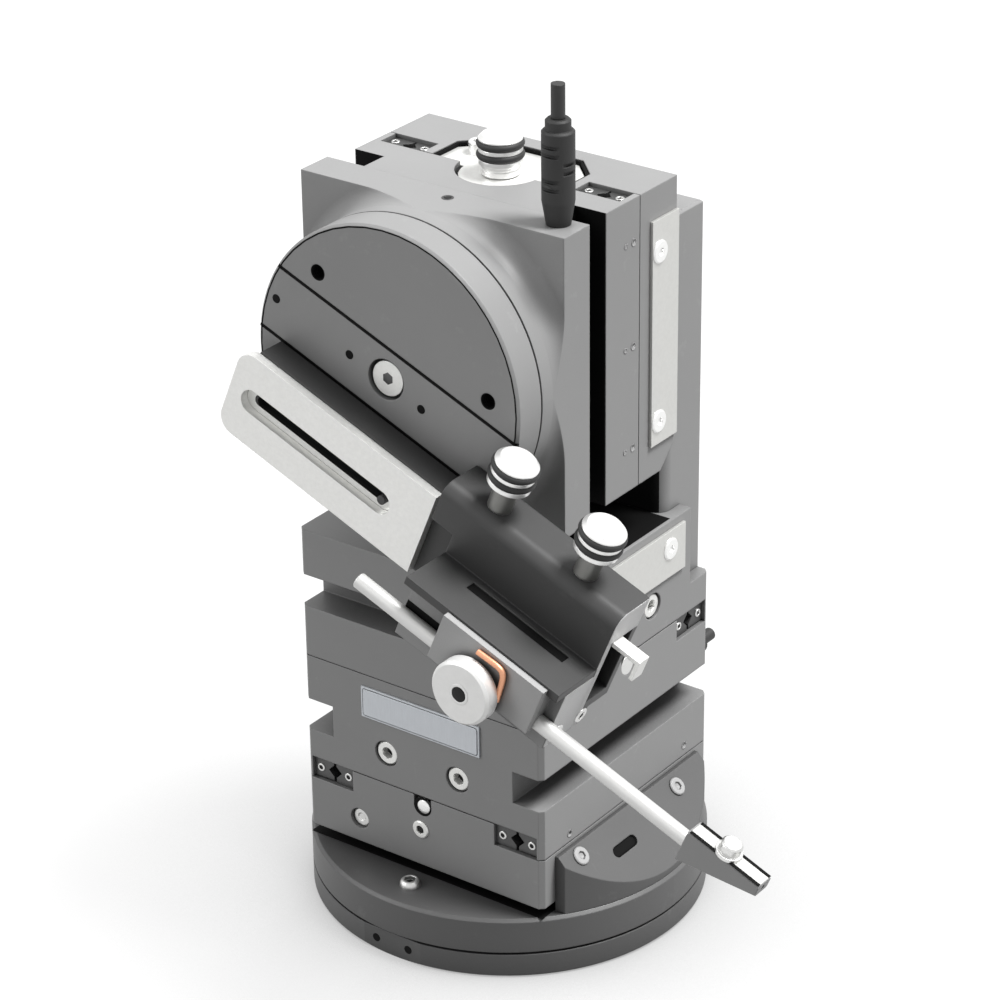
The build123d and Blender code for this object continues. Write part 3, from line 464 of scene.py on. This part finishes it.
# Grey level, worn level, roughness
body_grey = blasted_shaded_finish("body_grey", 0.29, 0.42, 0.38)
block_grey = blasted_shaded_finish("block_grey", 0.30, 0.42, 0.38)
jaw_grey = blasted_shaded_finish("jaw_grey", 0.40, 0.50, 0.38)
# partly painted light: the end faces' own pale grey, raised further to stand in for light on faces the lamps miss
end_pale_and_painted_light = blasted_shaded_finish("end_pale_and_painted_light", 0.78, 0.84, 0.38)
faint_grey = blasted_shaded_finish("faint_grey", 0.40, 0.50, 0.38)
# painted shade: far below the body's grey, so the lower ring and turntable read shaded
ring_shaded_grey = blasted_shaded_finish("ring_shaded_grey", 0.11, 0.20, 0.38)
# painted shade: darker than the body's grey, so the housing on the lower right side reads shaded
housing_shaded_grey = blasted_shaded_finish("housing_shaded_grey", 0.10, 0.18, 0.46)
carriage_black = blasted_shaded_finish("carriage_black", 0.055, 0.09, 0.40, specular=0.4)
# painted shade: near-black for the hexagons that stand for shade in screw sockets
socket_shade_dark = blasted_shaded_finish("socket_shade_dark", 0.015, 0.03, 0.5, specular=0.2)
# painted shade: near-black for sheets that stand for shade in gaps, slots and holes
near_black_shade = blasted_shaded_finish("near_black_shade", 0.004, 0.012, 0.6, specular=0.1)
rubber = blasted_shaded_finish("rubber", 0.020, 0.04, 0.55, grain=0.8)
jacket = blasted_shaded_finish("jacket", 0.025, 0.05, 0.5, grain=0.4)

# Red, green, blue, roughness, streaks
bright_plate = brushed_finish("bright_plate", 0.64, 0.64, 0.62, 0.30, (3, 3, 3), metallic=0.6)
light_plate = brushed_finish("light_plate", 0.84, 0.84, 0.82, 0.28, (3, 3, 3), metallic=0.5)
ground_steel = brushed_finish("ground_steel", 0.66, 0.66, 0.65, 0.28, (1, 1, 8))
rail_dark = brushed_finish("rail_dark", 0.10, 0.10, 0.10, 0.38, (8, 1, 1), metallic=0.8)
turned_white = brushed_finish("turned_white", 0.90, 0.90, 0.89, 0.20, (1, 1, 6), 0.03, 0.7)
knob_grey = brushed_finish("knob_grey", 0.80, 0.80, 0.79, 0.32, (1, 4, 1), 0.05, 0.4)
# painted shade: darker grey for the thumb screws' stems, which read shaded
stem_shaded_grey = brushed_finish("stem_shaded_grey", 0.22, 0.22, 0.21, 0.30, (1, 1, 6), 0.05, 0.7)
rod_white = brushed_finish("rod_white", 0.66, 0.66, 0.65, 0.30, (1, 8, 1), 0.05, 0.5)
motor_can = brushed_finish("motor_can", 0.50, 0.50, 0.50, 0.35, (1, 1, 5))
bronze = brushed_finish("bronze", 0.60, 0.42, 0.20, 0.35, (4, 1, 1))
copper = brushed_finish("copper", 0.72, 0.36, 0.22, 0.34, (1, 6, 1), metallic=0.8)
label_face = brushed_finish("label_face", 0.70, 0.73, 0.77, 0.35, (8, 1, 1), metallic=0.2)

slot_finishes = {
    "anodised_grey": body_grey,
    "black_metal": carriage_black,
    "bright_metal": bright_plate,
    "steel": ground_steel,
    "polished_metal": turned_white,
    "motor_can": motor_can,
    "bronze": bronze,
    "copper": copper,
    "rubber": rubber,
    "cable_jacket": jacket,
    "label": label_face,
}
node_finishes = {
    "rod_block": block_grey,
    "clamp_jaw": jaw_grey,
    "probe_rod": rod_white,
    "clamp_knob": knob_grey,
    "tip_holder": body_grey,
    "stop_pin": carriage_black,
    "slide_bar": light_plate,
    "z_bearing_plate": light_plate,
    "end_bracket": light_plate,
    "tilt_screw": light_plate,
    "base_ring": ring_shaded_grey,
    "swivel_plate": ring_shaded_grey,
    "connector_housing": housing_shaded_grey,
}
for stage in "xyz":
    for kind in ("fixed_rails", "moving_rails", "roller_cages"):
        node_finishes[f"{stage}_{kind}"] = rail_dark


def finish_frame():
    """Each CAD node gets the finish of its slot, or its own one."""
    for entry in frame["record"]["subparts"]:
        mesh = frame["nodes"][entry["node"]].data
        mesh.materials.clear()
        mesh.materials.append(node_finishes.get(entry["node"], slot_finishes[entry["material_slot"]]))


# Screw forms: profile rows for around, up the axis of the screw

def disc(radius, thickness):
    """Round disc."""
    return ((radius, 0, 0), (radius, thickness, 0))


def cap_head(radius, height, socket, depth):
    """Socket head screw: a chamfered drum, then a hexagon recess down to a shallow cone."""
    chamfer = radius * 0.12
    lip = radius * 0.08
    return (
        (radius, 0, 0),
        (radius, height - chamfer, 0),
        (radius - chamfer, height, 0),
        (socket * 1.12, height, 0),
        (socket, height - lip, 6),
        (socket, height - depth, 6),
        (socket * 0.3, height - depth * 1.1, 0),
    )


def button_head(radius, height, socket, depth):
    """Button head screw: the side follows a quarter ellipse up to a flat rim, then a hexagon recess."""
    rim = radius * 0.62
    lip = 0.06
    rows = [(radius, 0, 0)]
    for angle in np.linspace(0.1, 1.0, 7) * pi / 2:
        rows.append((rim + (radius - rim) * cos(angle), height * sin(angle), 0))
    rows.append((socket, height - lip, 6))
    rows.append((socket, height - depth, 6))
    rows.append((socket * 0.3, height - depth, 0))
    return rows


def set_screw(radius, socket):
    """Headless screw: a flat rim that stands out by a hair, with a shallow hexagon in it."""
    stands_out = 0.08
    floor = 0.03
    return ((radius, 0, 0), (radius, stands_out, 0), (socket * 1.2, stands_out, 0), (socket, floor, 6))


# painted shade: a dark disc that stands for the inside of a small hole
hole_shade = disc(1.15, 0.04)
hair = 0.03
socket_shade_hexes = {}


def fasteners(name, profile, places, axis, finish, body, slot="steel", floor=None):
    """Like screws as one piece on a body.

    A floor is the apothem and the height of a dark hexagon of painted shade at the bottom of each socket. The
    floors are gathered, and become one piece on each body at the end.
    """
    piece(name, [around(profile, place, axis) for place in places], finish, body)
    if floor:
        socket, height = floor
        top = height + hair
        rows = ((socket, height, 6), (socket, top, 6), (socket * 0.5, top + 0.01, 6))
        socket_shade_hexes.setdefault(body, []).extend(around(rows, place, axis) for place in places)


# Screws of the stages and the turntable

def add_block_screws():
    """Sunk cap screws: two in the front of the middle block and two in the side of the upper one."""
    height = 15.2
    spread_by = 11.3
    sunk = 3.0
    head = cap_head(radius=3.35, height=2.6, socket=1.45, depth=1.9)
    floor = (1.4, 0.72)
    fronts = [(x, block_front + sunk, y_seam + height) for x in (-spread_by, spread_by)]
    fasteners("middle_block_screws", head, fronts, -Y, light_plate, "y_carriage", floor=floor)
    sides = [(block_side - sunk, y, x_seam + height) for y in (-spread_by, spread_by)]
    fasteners("upper_block_screws", head, sides, X, light_plate, "x_carriage", floor=floor)


def add_base_screws():
    """Lower base: a flat screw and a sunk plug in its front, and three preload screws in its side."""
    head = cap_head(radius=2.5, height=0.5, socket=1.05, depth=0.9)
    place = (-0.7, block_front, 30.6)
    fasteners("lower_base_screw", head, [place], -Y, light_plate, "turntable", floor=(1.0, hair))
    plug_rows = ((2.75, 0, 0), (2.75, 0.8, 0), (2.3, 1.1, 0), (1.2, 1.1, 0), (1.0, 0.8, 0))
    plug = around(plug_rows, (-20.7, block_front + 1.9, 26.8), -Y)
    piece("lower_base_plug", [plug], ground_steel, "turntable")
    places = [(block_side, y, z) for y, z in ((-25.5, 36.9), (0.6, 37.0), (26.8, 37.4))]
    fasteners("lower_preload_screws", set_screw(1.1, 0.55), places, X, faint_grey, "turntable")


def add_drive_end():
    """Sunk end plug of the lower drive, with a painted shadow disc for the dark of its hole."""
    level = (corner("y_screw", 0)[2] + corner("y_screw", 1)[2]) / 2
    hole = np.array((0, block_front - 0.02, level))
    shade_sheet("drive_hole_shadow", [around(disc(2.75, 0.03), hole, -Y)], "turntable")
    dome = ((1.95, 0.03, 0), (1.9, 0.3, 0), (1.5, 0.5, 0), (0.8, 0.6, 0))
    off_centre = np.array((0.55, 0, 0.2))
    plug = around(dome, hole + off_centre, -Y)
    piece("drive_end_plug", [plug], turned_white, "turntable")


def add_turntable_gap():
    """Painted shade: a dark sheet in the gap between the lower base and the turntable."""
    side, front = 37.2, 37.3
    outline = box_outline(-side, side, -front, side)
    shade_sheet("turntable_gap_shade", [plate(outline, Z * (swivel_top + 0.02), X, Y, 0.04)], "turntable")


def add_upright_screws():
    """Upright stage: preload screws down its side, and the screws of its plates."""
    preload_y = 1.9
    skirt_y = -1.5
    levels = (188.5, 161.3, 134.0)
    places = [(corner("z_base", 1)[0], preload_y, level) for level in levels]
    fasteners("upright_preload_screws", set_screw(1.1, 0.55), places, X, faint_grey, "x_carriage")
    places = [(block_side, skirt_y, level) for level in levels]
    fasteners("upright_skirt_screws", set_screw(0.8, 0.4), places, X, faint_grey, "z_head")

    disc_head = cap_head(radius=3.0, height=0.5, socket=0.9, depth=0.4)
    tall_head = cap_head(radius=2.6, height=3.2, socket=1.3, depth=1.6)
    plate_screw = (turned_white, "x_carriage", "polished_metal")
    places = [(corner("z_strip", 1)[0], 12.0, level) for level in (137.5, 182.8)]
    fasteners("strip_screws", disc_head, places, X, *plate_screw)
    places = [(corner("side_plate", 1)[0], 18.1, 99.4)]
    fasteners("side_plate_screw", disc_head, places, X, *plate_screw)
    places = [(x, 8.0, corner("z_bearing_plate", 1)[2]) for x in (-12.8, 12.8)]
    fasteners("bearing_screws", tall_head, places, Z, *plate_screw, floor=(1.2, 1.62))
    head = set_screw(1.5, 0.9)
    places = [(1.5, -24.0, corner("z_carriage", 1)[2])]
    fasteners("face_plate_screw", head, places, Z, rail_dark, "z_head", floor=(0.9, hair))


def add_turntable_screws():
    """Button head on the turntable, flat screws on the housing's slope, and painted shade in its socket slot."""
    head = button_head(radius=2.75, height=1.8, socket=1.4, depth=1.2)
    places = [(0, -43.5, swivel_top)]
    fasteners("turntable_screw", head, places, Z, ground_steel, "turntable", floor=(1.35, 0.62))

    slope = np.array((0.7397, 0, 0.6729))
    up_slope = np.cross(slope, Y)
    flat_head = cap_head(radius=2.5, height=0.5, socket=1.0, depth=0.4)
    places = ((40.6, -25.0, 31.0), (41.2, 18.0, 30.4))
    fasteners("housing_screws", flat_head, places, slope, faint_grey, "turntable")
    # painted shade: a dark oval at the floor of the socket slot
    mouth = np.array((43.84, -9.9, 27.33))
    reach, radius = 3.5, 1.48
    rings = [oval(mouth, Y, up_slope, slope, reach, radius, height) for height in (-0.7, -0.6)]
    shade_sheet("housing_slot_shade", [np.array(rings)], "turntable")


def add_rail_screws():
    """One small screw at the end of each rail: inner ones on the fixed body, outer ones on the moving."""
    head = cap_head(radius=1.15, height=0.35, socket=0.6, depth=0.5)
    floor = (0.6, hair)
    inner, outer = 24.7, 33.7
    above_seam = 3.2
    y_end = np.array((0, corner("y_fixed_rails", 0)[1], y_seam + above_seam))
    x_end = np.array((corner("x_fixed_rails", 1)[0], 0, x_seam + above_seam))
    z_end = (corner("z_fixed_rails", 0) + corner("z_fixed_rails", 1)) / 2
    z_end[0] = 0
    z_end[2] = corner("z_fixed_rails", 1)[2]
    for stage, end, outward, across, fixed, moving in (
        ("y", y_end, -Y, X, "turntable", "y_carriage"),
        ("x", x_end, X, Y, "y_carriage", "x_carriage"),
        ("z", z_end, Z, X, "x_carriage", "z_head"),
    ):
        for body, reach in ((fixed, inner), (moving, outer)):
            places = [end - across * reach, end + across * reach]
            name = f"{stage}_rail_screws_{body}"
            fasteners(name, head, places, outward, ground_steel, body, floor=floor)


# Details of the approach head

def add_head_screws():
    """The tilt screw's dark hexagon of painted shade, and two flat screws on the far end of the carriage."""
    hexagon = ((1.4, 0, 6), (1.4, 0.03, 6), (1.2, 0.05, 6))
    # painted shade: a dark hexagon for the tilt screw's socket
    slot = around(hexagon, at_head(0, 0, -0.75), out)
    piece("tilt_screw_socket_shade", [slot], rail_dark, "z_head")
    head = cap_head(radius=2.1, height=0.5, socket=1.0, depth=0.9)
    places = [at_head(carriage_end, -36.4, 10.8), at_head(carriage_end, -36.2, 20.6)]
    fasteners("carriage_end_screws", head, places, along, ground_steel, "slide", floor=(1.0, hair))


def add_end_walls():
    """Pale end faces: the carriage's round wall over its pocket, and the rod block's; their grey is partly their
    own pale colour and partly painted light, set far paler than the body's where no lamp reaches.
    """
    origin = at_head(carriage_end, 0, 0)
    thickness = 0.12
    top, bottom = -3.6, -39.3
    back, front = 0.6, 13.0
    pocket_top, pocket_front = -12.3, 11.1
    bend = 3.5
    wall = [(top, back)]
    wall += arc((top - bend, front - bend), bend, 0, 90, 7)
    wall += [(bottom, front), (bottom, pocket_front), (pocket_top, pocket_front), (pocket_top, back)]
    block_top, block_front_face = -22.3, 24.5
    block = box_outline(bottom, block_top, front, block_front_face)
    for name, outline in (("carriage_end_wall", wall), ("rod_block_end_wall", block)):
        face = plate(outline, origin, up_slide, out, thickness)
        piece(name, [face], end_pale_and_painted_light, "slide")


def add_gap_shades():
    """Painted shadow in dark gaps: the upright channel behind the face plate, and the groove above the rod."""
    floor_x, mouth_x = 28.5, 37.3
    front_y, back_y = -18.8, -10.0
    low = corner("z_moving_rails", 0)[2] - 1
    height = corner("z_moving_rails", 1)[2] + 1 - low
    sheets = []
    for side in (-1, 1):
        floor = sorted((side * (floor_x + 0.02), side * (floor_x + 0.06)))
        wall = sorted((side * floor_x, side * mouth_x))
        sheets.append(plate(box_outline(*floor, front_y, back_y), Z * low, X, Y, height))
        sheets.append(plate(box_outline(*wall, back_y, back_y + 0.07), Z * low, X, Y, height))
    shade_sheet("channel_shade", sheets, "z_head")
    start, end = 38.1, 50.3
    under, over = -30.9, -28.6
    groove = plate(box_outline(start, end, under, over), at_head(0, 0, 24.6), along, up_slide, 0.04)
    shade_sheet("rod_groove_shade", [groove], "slide")


def add_bar_slot_floor():
    """Pale floor of the bar's slot, with the pin's slot left open."""
    middle = at_head(-5.75, -22.5, 8.3)
    outer_reach, outer_radius = 20.85, 3.15
    inner_reach, inner_radius = 20.0, 1.55
    top = 0.05
    section = (
        (outer_reach, outer_radius, 0),
        (outer_reach, outer_radius, top),
        (inner_reach, inner_radius, top),
        (inner_reach, inner_radius, 0),
        (outer_reach, outer_radius, 0),
    )
    rings = [oval(middle, along, up_slide, out, *row) for row in section]
    piece("bar_slot_floor", [np.array(rings)], light_plate, "slide", capped=False)


def add_holder_lines():
    """Painted shade as dark lines along the edges of the tip holder's flat top, and a painted highlight as the
    bright strip between them.
    """
    face = at_head(0, -27.5, 0)
    start, end = 126.5, 146.5
    inner, outer = 23.9, 28.3
    half_line = 0.5
    lines = []
    for v in (inner, outer):
        outline = box_outline(v - half_line, v + half_line, start, end)
        lines.append(plate(outline, face, out, along, 0.04))
    shade_sheet("holder_shade_lines", lines, "holder")
    outline = box_outline(inner + half_line, outer - half_line, start, end)
    # painted highlight: a bright strip on the holder's flat top
    strip = plate(outline, face, out, along, 0.03)
    piece("holder_highlight_strip", [strip], bright_plate, "holder")


def add_disc_shades():
    """Shelf slot, disc grooves, the disc's rim line and its small holes: dark sheets of painted shade where they
    are deep.
    """
    inner, outer = 15.4, 18.4
    start, end = 48.0, 77.5
    slot = plate(box_outline(inner, outer, start, end), at_head(0, -20.35, 0), out, along, 0.05)
    shade_sheet("shelf_slot_shade", [slot], "slide")
    half_groove = 0.5
    grooves = []
    for w, reach in ((8.0, 37.9), (-10.0, 37.4)):
        outline = box_outline(-reach, reach, w - half_groove, w + half_groove)
        grooves.append(plate(outline, at_head(0, 0, -0.2), along, up_slide, 0.05))
    shade_sheet("disc_groove_shades", grooves, "tilt_disc")
    within, edge = 38.0, 38.4
    rim_line = ((within, 0, 0), (edge, 0, 0), (edge, hair, 0), (within, hair, 0), (within, 0, 0))
    shade_sheet("disc_rim_shade_line", [around(rim_line, at_head(0, 0, 0), out)], "tilt_disc", capped=False)
    mouths = [around(hole_shade, at_head(u, -0.7, 0), out) for u in (-35.4, -11.5, 11.5)]
    shade_sheet("disc_hole_shades", mouths, "tilt_disc")


def add_disc_threads():
    """Threads in the disc's two tapped holes, black as painted shade inside the holes."""
    radius, depth, pitch = 2.09, 5.6, 0.7
    places = [at_head(u, 13.6, 0) for u in (-27.0, 27.0)]
    threads = [thread_tube(radius, depth, pitch, place, out) for place in places]
    shade_sheet("disc_threads", threads, "tilt_disc", capped=False)


def add_clip_wire():
    """Wire clip with round section, in place of the plain bent strip."""
    level = 30.9
    path = [at_head(62.3, -22.2, level), at_head(70.6, -21.8, level), at_head(71.4, -30.6, level)]
    clip = piece("clip_wire", [wire(path, 0.75)], copper, "slide")
    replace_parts(clip, "clamp_clip")


# Details of the stages and the turntable

def add_rim_holes():
    """Painted shade: dark discs at the mouths of the two small holes in the flat of the lower ring."""
    half_flat = 9.0
    flat_y = -(corner("base_ring", 1)[0] ** 2 - half_flat ** 2) ** 0.5
    mouths = [around(hole_shade, (x, flat_y, 3.6), -Y) for x in (-5.1, 5.1)]
    shade_sheet("rim_hole_shades", mouths, "base")


def add_column_foot_shade():
    """Painted shade at the column's foot: dark sheets, one bent round its fillet, one on the block's top."""
    block_top = corner("upper_block", 1)[2]
    bend_middle = (30, 24.3)
    inner, outer = 3.99, 4.03
    sheet = [(-30, bend_middle[1] - inner), (-30, bend_middle[1] - outer)]
    sheet += arc(bend_middle, outer, -90, -50, 5)
    sheet += arc(bend_middle, inner, -50, -90, 5)
    upright = plate(sheet, Z * (block_top + 0.05), X, Y, 22.0)
    left, right, front, back = -28.0, 36.6, -16.0, 20.2
    flat = plate(box_outline(left, right, front, back), Z * block_top, X, Y, 0.05)
    shade_sheet("column_foot_shade", [upright, flat], "x_carriage")


def add_pocket_gap():
    """Painted shade: a dark sheet in the gap between the bearing plate and its pocket."""
    def outline(half, shoulder, top_half, top):
        right = [(half, -1.4), (half, shoulder), (top_half, top)]
        return np.array(right + [(-x, y) for x, y in reversed(right)])

    pocket = outline(20, 8.8, 13.5, 15.3) * 0.999
    plate_edge = outline(19.25, 8.5, 13.2, 14.55)
    gap = np.concatenate((pocket, plate_edge[::-1]))
    floor = Z * (corner("z_base", 1)[2] - 2.5)
    shade_sheet("pocket_gap_shade", [plate(gap, floor, X, Y, 2.2)], "x_carriage")


def add_knob_sleeves():
    """Sleeves under the hand knob and the thumb screws, and the rim in the clamp knob's middle; the thumb screws'
    sleeves are dark grey as painted shade on their stems.
    """
    foot = (corner("z_knob", 0) + corner("z_knob", 1)) / 2
    foot[2] = corner("z_knob", 0)[2]
    wide, narrow = 4.9, 4.6
    sleeve = (
        (narrow, 0.1, 0),
        (wide, 0.4, 0),
        (wide, 1.6, 0),
        (narrow, 1.7, 0),
        (narrow, 1.9, 0),
        (wide, 2.0, 0),
        (wide, 3.1, 0),
    )
    piece("z_knob_sleeve", [around(sleeve, foot, Z)], turned_white, "z_drive")
    for number, u in ((1, 43.0), (2, 69.5)):
        stem = around(((3.04, 0.1, 0), (3.04, 7.2, 0)), at_head(u, -3.6, 7.2), up_slide)
        piece(f"thumb_stem_{number}", [stem], stem_shaded_grey, f"thumb_{number}")
    knob_front = disc_centre[1] - corner("clamp_knob", 0)[1]
    rim = ((2.7, 0, 0), (2.7, 0.06, 0), (2.5, 0.1, 0), (2.0, 0.1, 0), (1.9, 0.02, 0))
    places = [at_head(64.0, -32.2, knob_front)]
    fasteners("clamp_knob_rim", rim, places, out, knob_grey, "clamp", floor=(1.9, 0.05))


def add_round_rings():
    """Rubber rings of round section, in place of the plain ones."""
    radius, thickness = 5.0, 1.0
    apart = 1.45
    for node, axis, body in (
        ("z_knob_rings", Z, "z_drive"),
        ("thumb_screw_1_rings", up_slide, "thumb_1"),
        ("thumb_screw_2_rings", up_slide, "thumb_2"),
    ):
        middle = (corner(node, 0) + corner(node, 1)) / 2
        pair = [round_ring(middle + side * apart * axis, axis, radius, thickness) for side in (-1, 1)]
        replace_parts(piece(f"{node}_round", pair, rubber, body, capped=False), node)


def add_label_face():
    """Bare face of the label plate, raised inside its rim."""
    low, high = corner("label_plate", 0), corner("label_plate", 1)
    middle = (low + high) / 2
    middle[1] = low[1]
    rim = 0.4
    size = (high[0] - low[0] - 2 * rim, high[2] - low[2] - 2 * rim, 0.12)
    face = slab(middle, X, Z, -Y, size, 0.8)
    piece("label_face", [face], label_face, "y_carriage")


def add_socket_shade_hexes():
    """The gathered dark hexagons of painted shade in the sockets, one piece on each body."""
    for body, grids in socket_shade_hexes.items():
        piece(f"socket_shade_hexes_{body}", grids, socket_shade_dark, body)


# Floor and light

def add_seen(tree):
    """Mask that is one for the camera and for what metal and glass reflect or pass."""
    path = tree.nodes.new("ShaderNodeLightPath")
    seen = add_math(tree, "MAXIMUM", path.outputs["Is Camera Ray"], path.outputs["Is Glossy Ray"])
    return add_math(tree, "MAXIMUM", seen, path.outputs["Is Transmission Ray"])


def add_mix(tree, share, first, second):
    """Mix of two shaders; the share of the second is a socket or a number."""
    node = tree.nodes.new("ShaderNodeMixShader")
    if isinstance(share, float):
        node.inputs[0].default_value = share
    else:
        tree.links.new(share, node.inputs[0])
    tree.links.new(first.outputs[0], node.inputs[1])
    tree.links.new(second.outputs[0], node.inputs[2])
    return node


def make_floor():
    """Wide white plane under the part that keeps its shadow and reads white from the camera, with a painted shadow
    that dims its white glow near the part.
    """
    reach = 3.0
    corners = [(-reach, -reach, 0), (reach, -reach, 0), (reach, reach, 0), (-reach, reach, 0)]
    mesh = bpy.data.meshes.new("floor")
    mesh.from_pydata(corners, [], [(0, 1, 2, 3)])
    thing = bpy.data.objects.new("floor", mesh)
    scene.collection.objects.link(thing)
    made = bpy.data.materials.new("floor_white")
    made.use_nodes = True
    tree = made.node_tree
    dull = tree.nodes["Principled BSDF"]
    dull.inputs["Roughness"].default_value = 0.9
    dull.inputs["Specular IOR Level"].default_value = 0.0
    dull.inputs["Base Color"].default_value = grey(0.10)
    white = tree.nodes.new("ShaderNodeEmission")
    # painted shadow: the white glow seen by the camera dims where the part closes the floor in
    painted_floor_shadow = add_painted_shade(tree, 110 * mm, dark=0.50, closed_at=0.42, open_at=0.94, bright=1.08)
    tree.links.new(painted_floor_shadow, white.inputs["Strength"])
    shadowed = tree.nodes.new("ShaderNodeBsdfDiffuse")
    shadowed.inputs["Color"].default_value = grey(0.80)
    seen = add_mix(tree, 0.86, shadowed, white)
    both = add_mix(tree, add_seen(tree), dull, seen)
    tree.links.new(both.outputs[0], tree.nodes["Material Output"].inputs["Surface"])
    mesh.materials.append(made)


def make_world():
    """World that lights at a low level and reads white to the camera and in reflections."""
    world = bpy.data.worlds.new("studio")
    scene.world = world
    world.use_nodes = True
    tree = world.node_tree
    light = tree.nodes["Background"]
    white = tree.nodes.new("ShaderNodeBackground")
    for node, strength in ((light, 0.46), (white, 1.0)):
        node.inputs["Color"].default_value = grey(1.0)
        node.inputs["Strength"].default_value = strength
    both = add_mix(tree, add_seen(tree), light, white)
    tree.links.new(both.outputs[0], tree.nodes["World Output"].inputs["Surface"])


def make_sun(name, toward, strength, spread_angle):
    """Sun lamp that shines from a direction, its disc as wide as an angle in degrees."""
    lamp = bpy.data.lights.new(name, "SUN")
    lamp.energy = strength
    lamp.angle = radians(spread_angle)
    thing = bpy.data.objects.new(name, lamp)
    scene.collection.objects.link(thing)
    thing.rotation_euler = Vector(toward).to_track_quat("Z", "Y").to_euler()


def make_camera():
    """Camera fitted to the photograph: long lens, from the right and above, rolled a little."""
    focal_pixels = 3582.4
    picture_pixels = 1000.0
    position = Vector((481.1, -656.7, 516.1)) * mm
    target = Vector((-1.05, -1.06, 109.86)) * mm
    roll = radians(-0.72)
    data = bpy.data.cameras.new("camera")
    data.sensor_width = 36.0
    data.lens = focal_pixels / picture_pixels * data.sensor_width
    data.clip_start = 0.05
    data.clip_end = 20
    camera = bpy.data.objects.new("camera", data)
    scene.collection.objects.link(camera)
    view = (target - position).normalized()
    right = view.cross(Vector((0, 0, 1))).normalized()
    up = right.cross(view)
    tilted_right = cos(roll) * right + sin(roll) * up
    tilted_up = cos(roll) * up - sin(roll) * right
    turn = Matrix((tilted_right, tilted_up, -view)).transposed()
    camera.matrix_world = Matrix.Translation(position) @ turn.to_4x4()
    scene.camera = camera


finish_frame()
add_block_screws()
add_base_screws()
add_drive_end()
add_turntable_gap()
add_upright_screws()
add_turntable_screws()
add_rail_screws()
add_head_screws()
add_end_walls()
add_gap_shades()
add_bar_slot_floor()
add_holder_lines()
add_disc_shades()
add_rim_holes()
add_column_foot_shade()
add_pocket_gap()
add_knob_sleeves()
add_round_rings()
add_disc_threads()
add_label_face()
add_clip_wire()
add_socket_shade_hexes()

make_floor()
make_world()
make_sun("key", (0.40, 0.22, 0.88), 4.4, 20)
make_sun("fill", (-0.62, -0.62, 0.48), 0.95, 30)
make_camera()
scene.view_settings.view_transform = "Standard"
